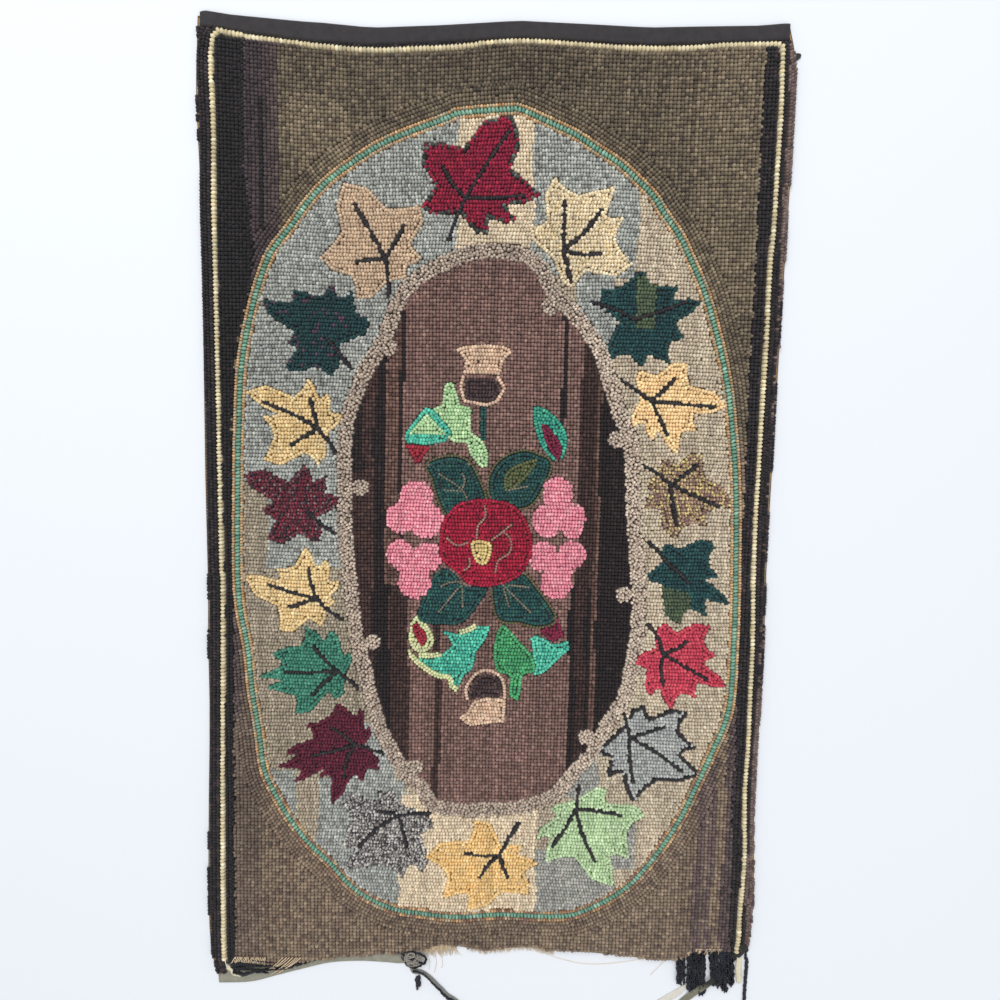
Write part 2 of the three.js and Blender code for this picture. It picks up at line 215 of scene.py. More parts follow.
canvas_faces += [tuple(2 * edge_count + i for i in face) for face in hem_faces]
ground = laid_out("burlap_ground", canvas_points + hem_points, canvas_faces, burlap, smooth=False)
# The burlap's top face shows only in the holes between loops. It is dark brown for the wool's feet there and for
# painted shade deep between the loops.
between_loops, nodes, links, shader = finish_of("wool_feet_and_painted_shade", 0.95)
shader.inputs["Base Color"].default_value = (*linear(74, 62, 56), 1)
ground.data.materials.append(between_loops)
ground.data.polygons[1].material_index = 1
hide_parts("hooked_panel")

# The flowers in the middle are hooked first, as a hooker works her pattern before its grounds: a crimson
# rose with a yellow eye, four pink blossoms, four dark leaves, and small buds. Each loop of wool is a
# soft lump, about three to the centimetre along its row and five rows to 20 mm.
chart_left, chart_right, chart_bottom, chart_top = -316, 316, -566, 494
rows_high = chart_top - chart_bottom
columns_wide = chart_right - chart_left
row_middles = chart_bottom + 0.5 + np.arange(rows_high)
loop_pitch = 3.3
row_pitch = 3.95
closeness = 0.8
loop_sides = 5
maker = np.random.default_rng(1912)
free = np.ones((2 * rows_high, 2 * columns_wide), bool)
claimed = np.zeros((rows_high, columns_wide), bool)
tucks = {}
pile_shape = BVHTree.FromPolygons([v.co for v in panel.data.vertices], [p.vertices for p in panel.data.polygons])
all_loops = []


def area_inside(outline):
    """The chart's millimetre cells inside a closed outline."""
    crossings = np.zeros((rows_high, columns_wide + 1), int)
    points = np.asarray(outline, float)
    for (x1, y1), (x2, y2) in zip(points, np.roll(points, -1, axis=0)):
        if y1 == y2:
            continue
        crossed = np.flatnonzero((row_middles >= min(y1, y2)) & (row_middles < max(y1, y2)))
        x = x1 + (row_middles[crossed] - y1) * (x2 - x1) / (y2 - y1)
        column = np.clip(np.ceil(x - chart_left - 0.5), 0, columns_wide).astype(int)
        np.add.at(crossings, (crossed, column), 1)
    return (np.cumsum(crossings, axis=1)[:, :-1] % 2).astype(bool)


def bend(points, closed=False, steps=8):
    """A smooth line through a few points."""
    points = np.asarray(points, float)
    if closed:
        held = np.vstack([points[-1:], points, points[:2]])
    else:
        held = np.vstack([2 * points[0] - points[1], points, 2 * points[-1] - points[-2]])
    t = np.linspace(0, 1, steps, endpoint=False)[:, None]
    spans = []
    for before, start, end, after in zip(held, held[1:], held[2:], held[3:]):
        square = (2 * before - 5 * start + 4 * end - after) * t**2
        cube = (3 * start - before - 3 * end + after) * t**3
        spans.append(0.5 * (2 * start + (end - before) * t + square + cube))
    line = np.vstack(spans)
    return line if closed else np.vstack([line, points[-1:]])


def evenly(line, spacing, closed=False):
    """Places a spacing apart along a line, each as x, y and the way the line runs there."""
    line = np.asarray(line, float)
    if closed:
        line = np.vstack([line, line[:1]])
    along = np.concatenate([[0], np.cumsum(np.hypot(*np.diff(line, axis=0).T))])
    count = max(round(along[-1] / spacing), 1)
    marks = (np.arange(count) + 0.5) * along[-1] / count
    places = []
    for mark in marks:
        x, y = (np.interp(mark, along, line[:, k]) for k in (0, 1))
        ahead_x, ahead_y = (np.interp(mark + 1, along, line[:, k]) for k in (0, 1))
        behind_x, behind_y = (np.interp(mark - 1, along, line[:, k]) for k in (0, 1))
        places.append((x, y, math.atan2(ahead_y - behind_y, ahead_x - behind_x)))
    return places


def shrunk(area, steps):
    """An area taken in by some millimetres on every side."""
    for _ in range(steps):
        area = (
            area & np.roll(area, 1, 0) & np.roll(area, -1, 0) & np.roll(area, 1, 1) & np.roll(area, -1, 1))
    return area


def is_in(area, x, y):
    row = int(y - chart_bottom)
    column = int(x - chart_left)
    return 0 <= row < rows_high and 0 <= column < columns_wide and area[row, column]


def hook(loops, x, y, way, yarn, long=loop_pitch, wide=row_pitch, tall=0.0, pushed=False):
    """Pulls one loop up at a place, unless it is too close to one that is there. Pushed loops go in anyway."""
    row = int(2 * (y - chart_bottom))
    column = int(2 * (x - chart_left))
    if not is_in(canvas, x, y) or not (pushed or free[row, column]):
        return
    turn = round(way / (math.pi / 12)) % 12
    size = (long, wide, turn)
    if size not in tucks:
        across, up = np.meshgrid(np.arange(-10, 11) / 2, np.arange(-10, 11) / 2)
        along = across * math.cos(turn * math.pi / 12) + up * math.sin(turn * math.pi / 12)
        over = up * math.cos(turn * math.pi / 12) - across * math.sin(turn * math.pi / 12)
        tucks[size] = np.hypot(along / long, over / wide) > closeness
    if 10 <= row < 2 * rows_high - 10 and 10 <= column < 2 * columns_wide - 10:
        free[row - 10:row + 11, column - 10:column + 11] &= tucks[size]
    loops.append((x, y, way, long, wide, tall, yarn))


def hook_line(loops, line, yarn, long=3.6, wide=3.6, closed=False, tall=0.0, pushed=True):
    """One row of loops along a line. Long is a loop's size along the row and wide its size across it."""
    for x, y, way in evenly(line, long, closed):
        hook(loops, x, y, way, yarn, long, wide, tall, pushed)


def fold_sag(x, y):
    """How far the top edge's sag has pulled the rows of the canvas down, which fades out below it."""
    sag = np.interp(x, [-306, -202, -133, -59, 21, 93, 206, 306], [5, -4, -8, -4, 2, 0, 0, 5])
    return sag * np.clip((y - 200) / 250, 0, 1)


def hook_straight(loops, area, yarn_at, wave=0.5, long=loop_pitch, in_line=False):
    """Fills an area with rows that follow the canvas threads, then hooks into the holes that are left."""
    rows, columns = np.nonzero(area)
    if len(rows) == 0:
        return
    low = math.floor((rows.min() + chart_bottom) / row_pitch - 3) * row_pitch
    left = math.floor((columns.min() + chart_left) / long - 1) * long
    for v in np.arange(low, rows.max() + chart_bottom + 3 * row_pitch, row_pitch):
        start = left if in_line else left + maker.uniform(0, long)
        for u in np.arange(start, columns.max() + chart_left + long, long):
            x = u + wave * math.sin(v / 37 + u / 190) + maker.normal(0, 0.14)
            y = v + wave * math.sin(u / 29 + v / 71) + fold_sag(u, v) + maker.normal(0, 0.14)
            if is_in(area, x, y):
                hook(loops, x, y, 0, yarn_at(x, y), long)
    hook_holes(loops, area, yarn_at)


def hook_holes(loops, area, yarn_at, long=3.6, tall=0.0):
    """Hooks into every hole of an area, in no order."""
    holes = np.argwhere(np.repeat(np.repeat(area, 2, axis=0), 2, axis=1) & free)
    maker.shuffle(holes)
    for row, column in holes:
        x = chart_left + (column + 0.5) / 2
        y = chart_bottom + (row + 0.5) / 2
        hook(loops, x, y, maker.uniform(0, math.pi), yarn_at(x, y), long, long, tall)


def hook_motif(loops, outline, yarn, edge_yarn=None, wave=0.5):
    """One motif: a row just inside its outline, then rows across it."""
    outline = np.asarray(outline, float)
    turn = np.sum(outline[:, 0] * np.roll(outline[:, 1], -1) - outline[:, 1] * np.roll(outline[:, 0], -1))
    area = area_inside(outline) & ~claimed
    inner = beside(outline, math.copysign(row_pitch * 0.45, turn), closed=True)
    for x, y, way in evenly(inner, loop_pitch, closed=True):
        if is_in(area, x, y):
            hook(loops, x, y, way, edge_yarn or yarn)
    hook_straight(loops, area, lambda x, y: yarn, wave)
    claimed[area] = True


def cloud(x, y, size, seed):
    """Slow light and dark over the rug, from about -1 to 1."""
    return (
        np.sin(x / size + seed) * np.sin(y / (1.3 * size) + 2 * seed)
        + 0.6 * np.sin((x + y) / (0.7 * size) + 3 * seed)
        + 0.4 * np.sin((x - 2 * y) / (0.5 * size) + 5 * seed)) / 1.6


def wool():
    """Hooked wool yarn: matt and fuzzy, in each loop's own colour. On the loops that colour carries painted shade at
    the foot and a painted highlight on the crown.
    """
    material, nodes, links, shader = finish_of("hooked_wool", 0.95, 0.12)
    loop_colour = nodes.new("ShaderNodeAttribute")
    loop_colour.attribute_name = "loop_colour"
    place = nodes.new("ShaderNodeTexCoord")
    fuzz = nodes.new("ShaderNodeTexNoise")
    fuzz.inputs["Scale"].default_value = 1500
    fuzz.inputs["Detail"].default_value = 3.0
    links.new(place.outputs["Object"], fuzz.inputs["Vector"])
    strength = nodes.new("ShaderNodeMapRange")
    strength.inputs["To Min"].default_value = 0.78
    strength.inputs["To Max"].default_value = 1.22
    links.new(fuzz.outputs["Fac"], strength.inputs["Value"])
    shaded = nodes.new("ShaderNodeVectorMath")
    shaded.operation = "SCALE"
    links.new(loop_colour.outputs["Color"], shaded.inputs[0])
    links.new(strength.outputs["Result"], shaded.inputs["Scale"])
    links.new(shaded.outputs["Vector"], shader.inputs["Base Color"])
    bump = nodes.new("ShaderNodeBump")
    bump.inputs["Strength"].default_value = 0.5
    bump.inputs["Distance"].default_value = 0.3 * MM
    links.new(fuzz.outputs["Fac"], bump.inputs["Height"])
    links.new(bump.outputs["Normal"], shader.inputs["Normal"])
    return material


def dye(loops, yarns):
    """Each loop's own colour, and its flecks: from its yarn's shades, their shares and its slow drift."""
    places = np.array([loop[:2] for loop in loops])
    shade = np.zeros((len(loops), 2 * loop_sides + 1, 3))
    for name, yarn in yarns.items():
        mine = np.flatnonzero([loop[6] == name for loop in loops])
        if len(mine) == 0:
            continue
        shares = np.array([mix[3] for mix in yarn["shades"]], float)
        colours = np.array([linear(*mix[:3]) for mix in yarn["shades"]])
        size = (len(mine), 2 * loop_sides + 1) if yarn.get("tweed") else (len(mine), 1)
        chosen = colours[maker.choice(len(colours), size=size, p=shares / shares.sum())]
        drift = yarn.get("drift", 0.1) * cloud(*places[mine].T, 48, len(name))
        rows = yarn.get("rows", 0.06) * maker.normal(size=600)[(places[mine, 0] / loop_pitch).astype(int) % 600]
        uneven = 0.09 * maker.normal(size=len(mine))
        strength = np.exp(drift + rows + uneven)
        shade[mine] = chosen * strength[:, None, None]
    return shade


def hooked_piece(name, loops, yarns):
    """One mesh of all the loops of a part of the rug. Each is a low dome that rises to the pile."""
    count = len(loops)
    sizes = np.array([loop[:6] for loop in loops])
    x, y, way, long, wide, tall = sizes.T
    tops = []
    for u, v in sizes[:, :2]:
        hit = pile_shape.ray_cast(on_chart(u, v, 40), Vector((0, 0, -1)))[0]
        tops.append(hit.z / MM if hit and hit.z > 3 * MM else 5.4)
    top = np.array(tops) + tall + maker.normal(0, 0.16, count)
    sides = 2 * math.pi * np.arange(loop_sides) / loop_sides
    ring = np.column_stack([np.cos(sides), np.sin(sides)])
    flat = np.vstack([0.74 * ring, 0.47 * ring, [[0, 0]]])
    rise = np.concatenate([np.zeros(loop_sides), np.full(loop_sides, 0.80), [1.0]])
    turned = way + maker.normal(0, 0.12, count)
    lean = maker.normal(0, 0.22, (count, 2))
    across = flat[None, :, 0] * long[:, None]
    up = flat[None, :, 1] * wide[:, None]
    foot = canvas_over - 0.1
    points = np.empty((count, len(flat), 3))
    points[:, :, 0] = x[:, None] + across * np.cos(turned)[:, None] - up * np.sin(turned)[:, None]
    points[:, :, 1] = y[:, None] + across * np.sin(turned)[:, None] + up * np.cos(turned)[:, None]
    points[:, :, :2] += lean[:, None, :] * rise[None, :, None]
    points[:, :, 2] = foot + (top - foot)[:, None] * rise[None, :]
    points[:, :, 0] = chart_x + points[:, :, 0] * MM
    points[:, :, 1] = chart_y + points[:, :, 1] * MM
    points[:, :, 2] *= MM
    faces = []
    for i in range(loop_sides):
        j = (i + 1) % loop_sides
        faces.append((i, j, loop_sides + j, loop_sides + i))
    for i in range(loop_sides):
        faces.append((loop_sides + i, loop_sides + (i + 1) % loop_sides, 2 * loop_sides))
    corners = np.concatenate([np.array(face) for face in faces])
    totals = np.array([len(face) for face in faces])
    step = len(flat)
    all_corners = (corners[None, :] + step * np.arange(count)[:, None]).ravel()
    all_totals = np.tile(totals, count)
    mesh = bpy.data.meshes.new(name)
    mesh.vertices.add(count * step)
    mesh.vertices.foreach_set("co", points.ravel())
    mesh.loops.add(len(all_corners))
    mesh.loops.foreach_set("vertex_index", all_corners)
    mesh.polygons.add(len(all_totals))
    mesh.polygons.foreach_set("loop_start", np.concatenate([[0], np.cumsum(all_totals)[:-1]]))
    mesh.polygons.foreach_set("use_smooth", np.ones(len(all_totals), bool))
    mesh.update(calc_edges=True)
    shade = dye(loops, yarns)
    # Painted shade and highlight: each loop's foot ring is painted darker and its crown lighter than its wool, for the
    # shade between the domes and the light on their tops.
    depth = np.concatenate([np.full(loop_sides, 0.70), np.full(loop_sides, 0.98), [1.05]])
    fleck = np.exp(maker.normal(0, 0.07, (count, step)))
    colour = np.ones((count, step, 4))
    colour[:, :, :3] = np.clip(shade * (depth[None, :] * fleck)[:, :, None], 0, 1)
    loop_colour = mesh.color_attributes.new("loop_colour", "FLOAT_COLOR", "POINT")
    loop_colour.data.foreach_set("color", colour.ravel())
    spread = points.reshape(-1, 3)[all_corners, :2]
    low = spread.min(axis=0)
    layout = (spread - low) / (spread.max(axis=0) - low).max()
    mesh.uv_layers.new(name="OFBake").data.foreach_set("uv", layout.ravel())
    mesh.materials.append(hooked_wool)
    made = bpy.data.objects.new(name, mesh)
    bpy.context.scene.collection.objects.link(made)
    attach(made, "root")
    all_loops.append((points.mean(axis=1), sizes, shade[:, -1]))
    return made


def ball(x, y, across):
    """A round outline."""
    turns = np.linspace(0, 2 * math.pi, 24, endpoint=False)
    return np.column_stack([x + across / 2 * np.cos(turns), y + across / 2 * np.sin(turns)])


hooked_wool = wool()
canvas = shrunk(area_inside(canvas_edge), 1) | area_inside([(289, -526), (296, -526), (299, -505), (289, -505)])
tape_edge = np.array([
    (-320, 473), (-300, 472.5), (-283, 471), (-262, 467.5), (-240, 465), (-202, 460.5), (-133, 457.5), (-59, 461.5),
    (21, 467.5), (93, 465.5), (155, 463.5), (206, 465.5), (240, 468), (267, 468.5), (320, 472)])
canvas &= ~area_inside([*(tape_edge - (0, 0.8)), (320, 520), (-320, 520)])
crease = dict(x=102.5, width=2.0, top=-484, bottom=-530)
crease_rows = slice(2 * (crease["bottom"] - chart_bottom), 2 * (crease["top"] - chart_bottom))
crease_left = int(2 * (crease["x"] - crease["width"] / 2 - chart_left))
free[crease_rows, crease_left:crease_left + int(2 * crease["width"])] = False
flower_yarns = dict(
    rose=dict(shades=[(166, 22, 56, 6), (146, 18, 50, 3), (184, 36, 66, 2)], drift=0.14),
    eye=dict(shades=[(222, 200, 136, 4), (208, 184, 124, 2)]),
    pink=dict(shades=[(230, 148, 162, 5), (222, 134, 152, 3), (236, 164, 174, 2)], drift=0.05),
    petal_line=dict(shades=[(156, 112, 104, 3), (170, 134, 116, 1)]),
    teal=dict(shades=[(34, 80, 78, 5), (26, 66, 68, 3), (46, 94, 82, 1)], drift=0.14),
    olive=dict(shades=[(100, 104, 66, 3), (84, 96, 60, 2)]),
    vein=dict(shades=[(124, 119, 104, 3), (106, 104, 90, 1)]),
    leaf_edge=dict(shades=[(104, 92, 66, 3), (92, 96, 66, 2)]),
    sea=dict(shades=[(62, 164, 140, 4), (50, 148, 128, 2), (84, 184, 150, 1)]),
    bright=dict(shades=[(82, 188, 162, 4), (102, 203, 175, 2), (65, 168, 147, 2)]),
    mint=dict(shades=[(180, 210, 160, 4), (164, 200, 148, 3), (198, 222, 174, 1)]),
    lemon=dict(shades=[(206, 212, 160, 4), (218, 218, 172, 2)]),
    green=dict(shades=[(78, 168, 109, 4), (66, 150, 101, 3), (94, 181, 120, 1)]),
    red=dict(shades=[(156, 40, 56, 4), (140, 34, 52, 2)]),
    wine=dict(shades=[(128, 31, 64, 4), (110, 26, 57, 2)]),
    tan=dict(shades=[(214, 186, 160, 4), (200, 168, 142, 3), (222, 196, 170, 1)], drift=0.1),
    blush=dict(shades=[(220, 190, 166, 3), (204, 170, 148, 1)]),
    brown=dict(shades=[(72, 54, 54, 4), (60, 44, 48, 3), (86, 68, 64, 1)], drift=0.05),
)
flower_loops = []
petal_lines = [
    [(-5, -14), (-4, -27), (-12, -38), (-13, -52)],
    [(25, -35), (13, -45), (3, -53)],
    [(16, -43), (24, -52), (23, -66), (11, -75), (8, -89)],
    [(-46, -51), (-35, -59), (-22, -56)],
    [(-21, -72), (-20, -81), (-27, -87)],
]
hook_motif(flower_loops, bend([(-19, -55), (1, -55), (3, -68), (-3, -80), (-14, -76)], closed=True), "eye")
for line in petal_lines:
    hook_line(flower_loops, bend(line), "petal_line", 3.2, 2.8)
rose = [
    (-24, -10), (0, -8), (26, -14), (42, -34), (48, -60), (40, -85), (24, -98), (2, -104), (-20, -102),
    (-33, -90), (-51, -74), (-53, -50), (-48, -30), (-37, -16),
]
hook_motif(flower_loops, bend(rose, closed=True), "rose")
blossoms = [
    dict(petals=[(-79, -8, 36), (-96, -31, 32), (-68, -33, 37)]),
    dict(petals=[(-96, -70, 30), (-66, -72, 31), (-80, -100, 36), (-82, -86, 34)]),
    dict(petals=[(74, 0, 33), (64, -30, 34), (89, -27, 32), (91, -38, 22)]),
    dict(petals=[(60, -70, 32), (91, -67, 31), (75, -99, 34), (76, -84, 32)]),
]
for blossom in blossoms:
    petals = np.any([area_inside(ball(*petal)) for petal in blossom["petals"]], axis=0) & ~claimed
    hook_straight(flower_loops, petals, lambda x, y: "pink")
    claimed |= petals
rose_leaves = [
    dict(
        outline=[(-66, 28), (-43, 36), (-25, 31), (-14, 14), (-6, -10), (-26, -12), (-44, -24), (-54, -8), (-60, 12)],
        veins=[[(-24, -8), (-30, 2), (-43, 11), (-56, 19)], [(-29, 3), (-27, 12), (-30, 20)], [(-30, 0), (-50, 1)]]),
    dict(
        outline=[(1, 14), (13, 34), (34, 43), (50, 40), (64, 31), (54, 2), (41, -14), (21, -15), (4, -9)],
        centre=[(52, 36), (27, 29), (16, 18), (17, 1), (33, 9)], veins=[[(20, 2), (42, 7)]]),
    dict(
        outline=[(-58, -92), (-41, -87), (-26, -103), (-2, -106), (-5, -116), (-25, -143), (-46, -147), (-76, -140)],
        veins=[[(-52, -105), (-40, -100), (-29, -102), (-27, -128)], [(-32, -106), (-54, -134)]]),
    dict(
        outline=[(7, -106), (14, -97), (35, -89), (52, -106), (73, -137), (58, -146), (35, -142), (13, -138)],
        veins=[[(14, -99), (30, -115), (48, -132)], [(17, -105), (24, -127)], [(22, -102), (46, -104)]]),
]
for leaf in rose_leaves:
    for vein in leaf["veins"]:
        hook_line(flower_loops, bend(vein), "vein", 3.2, 2.6)
    if "centre" in leaf:
        hook_motif(flower_loops, bend(leaf["centre"], closed=True), "olive")
    outline = bend(leaf["outline"], closed=True)
    hook_motif(flower_loops, outline, "teal", wave=1.0)
    hook_line(flower_loops, beside(outline, -2.4 if leaf is rose_leaves[2] else 2.4, closed=True), "leaf_edge",
              3.4, 2.8, closed=True, pushed=False)
hook_motif(flower_loops, [(-86, 61), (-69, 82), (-49, 61)], "mint")
hook_motif(flower_loops, [(-91, 52), (-92, 61), (-71, 89), (-61, 86), (-43, 65), (-48, 53), (-70, 49)], "bright")
bud = [(-50, 114), (-42, 116), (-36, 103), (-33, 92), (-22, 90), (-21, 64), (-7, 54), (-2, 40), (-3, 28), (-10, 26),
       (-22, 40), (-25, 52), (-40, 53), (-50, 60), (-64, 86), (-53, 92)]
hook_motif(flower_loops, bud, "mint")
hook_motif(flower_loops, [(-90, 48), (-66, 47), (-78, 29)], "red")
hook_line(flower_loops, [(-9.5, 91), (-9.5, 55)], "teal", 3.4, 3.6)
hook_line(flower_loops, [(-6.2, 91), (-6.2, 55)], "teal", 3.4, 3.0, pushed=False)
hook_motif(flower_loops, bend([(56, 72), (64, 69), (76, 52), (76, 40), (68, 40), (58, 58)], closed=True), "wine")
hook_motif(
    flower_loops, bend([(45, 89), (56, 91), (72, 79), (81, 65), (82, 50), (76, 38), (64, 39), (51, 58)], closed=True),
    "sea")
hook_motif(flower_loops, bend([(-81, -147), (-74, -149), (-66, -162), (-72, -170), (-80, -158)], closed=True), "red")
hook_motif(
    flower_loops, bend([(-80, -140), (-71, -141), (-58, -162), (-63, -176), (-78, -178), (-86, -163)], closed=True),
    "lemon")
for line in ([(-86, -176), (-82, -186), (-71, -196), (-55, -206), (-42, -208), (-39, -217), (-32, -222)],
             [(-75, -184), (-60, -184), (-49, -181)], [(-30, -157), (-20, -154), (-11, -149)]):
    hook_line(flower_loops, bend(line), "lemon", 3.4, 3.4)
    hook_line(flower_loops, beside(bend(line), 3.0), "lemon", 3.4, 3.4, pushed=False)
pea = [(-48, -155), (-29, -158), (-11, -148), (1, -149), (0, -161), (-12, -178), (-15, -197), (-24, -203), (-32, -220),
       (-40, -208), (-58, -204), (-75, -187), (-48, -180), (-37, -170), (-42, -162)]
hook_motif(flower_loops, pea, "bright")
tulip = [(15, -147), (26, -153), (37, -166), (50, -180), (54, -198), (41, -203), (38, -224), (33, -230), (26, -224),
         (26, -204), (11, -197), (8, -170)]
hook_motif(flower_loops, bend(tulip, closed=True), "green")
hook_motif(flower_loops, [(60, -152), (78, -139), (84, -158), (71, -164)], "wine")
spray = [(49, -159), (62, -160), (72, -167), (82, -166), (91, -163), (91, -173), (77, -186), (66, -198), (54, -202)]
hook_motif(flower_loops, spray, "bright")
cap = [(-37, 151), (-30, 155), (-8, 157), (12, 156), (21, 151), (12, 139), (9, 126), (-30, 126), (-28, 139)]
hook_motif(flower_loops, cap, "tan")
hook_motif(flower_loops, [(-27, 121), (3, 121), (10, 112), (2, 97), (-27, 98)], "brown")
hook_line(flower_loops, [(-30, 124), (-33, 112), (-29, 97), (-5, 93), (6, 97), (14, 111), (6, 124)], "blush", 3.4, 3.9)
arch = [(-18, -229), (-17, -218), (-11, -207), (-1, -202), (12, -206), (17, -216), (17, -227), (-1, -228)]
hook_motif(flower_loops, bend(arch, closed=True), "brown")
hook_line(flower_loops, bend([(-20, -232), (-22, -220), (-15, -206), (-2, -198), (13, -202), (20, -214), (21, -230)]),
          "blush", 3.4, 3.9)
hook_motif(flower_loops, [(-14, -233), (1, -229), (22, -231), (21, -256), (-17, -262), (-29, -253), (-21, -247)], "tan")
rug_loops = [hooked_piece("flower_loops", flower_loops, flower_yarns)]

# Eighteen maple leaves ring the middle. Each is hooked in its own wool, many in a tweed of two or three
# colours, with its stem and three veins in near-black. Some have an outline of dark loops.
leaf_yarns = dict(
    vein=dict(shades=[(40, 38, 42, 4), (54, 48, 50, 2), (30, 32, 34, 1)], drift=0),
    crimson=dict(shades=[(146, 22, 58, 5), (128, 18, 50, 3), (166, 32, 60, 1)], drift=0.12),
    slate=dict(shades=[(66, 72, 70, 2), (106, 112, 106, 1), (42, 46, 46, 1.4), (150, 26, 56, 2)]),
    cream_tweed=dict(shades=[(234, 218, 186, 6), (222, 198, 150, 3), (202, 184, 156, 1), (128, 112, 98, 0.5)], tweed=True),
    teal=dict(shades=[(30, 72, 74, 5), (24, 60, 64, 3), (42, 86, 82, 1)], drift=0.12),
    olive=dict(shades=[(84, 98, 72, 3), (70, 88, 68, 2)]),
    flecked_teal=dict(shades=[(26, 62, 64, 6), (20, 51, 54, 3), (84, 58, 76, 1)], drift=0.1),
    gold=dict(shades=[(246, 213, 160, 5), (238, 201, 146, 3), (250, 222, 173, 1)], drift=0.05),
    straw=dict(shades=[(232, 205, 152, 5), (222, 191, 136, 3), (238, 215, 169, 1)], drift=0.05),
    mauve_tweed=dict(shades=[(147, 118, 105, 4), (109, 82, 80, 3), (231, 214, 136, 2), (185, 158, 130, 2)], tweed=True),
    coral=dict(shades=[(204, 70, 90, 5), (190, 60, 82, 3), (212, 84, 98, 1)], drift=0.05),
    grey=dict(shades=[(174, 176, 172, 5), (158, 160, 158, 3), (188, 190, 184, 1)], drift=0.05),
    mint=dict(shades=[(189, 212, 168, 5), (175, 200, 155, 3), (202, 222, 181, 1)], drift=0.08),
    orange=dict(shades=[(236, 200, 138, 5), (228, 188, 122, 3), (238, 208, 154, 1)], drift=0.08),
    salt=dict(shades=[(200, 196, 190, 3), (56, 54, 56, 3), (128, 120, 116, 2)], tweed=True),
    burgundy=dict(shades=[(93, 24, 47, 5), (80, 20, 42, 3), (108, 32, 54, 1)], drift=0.1),
    green=dict(shades=[(66, 134, 112, 5), (54, 118, 98, 3), (82, 150, 126, 1)], drift=0.1),
    red_tweed=dict(shades=[(132, 40, 56, 3), (42, 33, 43, 4), (92, 37, 52, 2), (140, 122, 122, 0.6)], tweed=True),
    tan=dict(shades=[(203, 177, 148, 5), (188, 162, 136, 3), (211, 187, 160, 1)], drift=0.08),
)
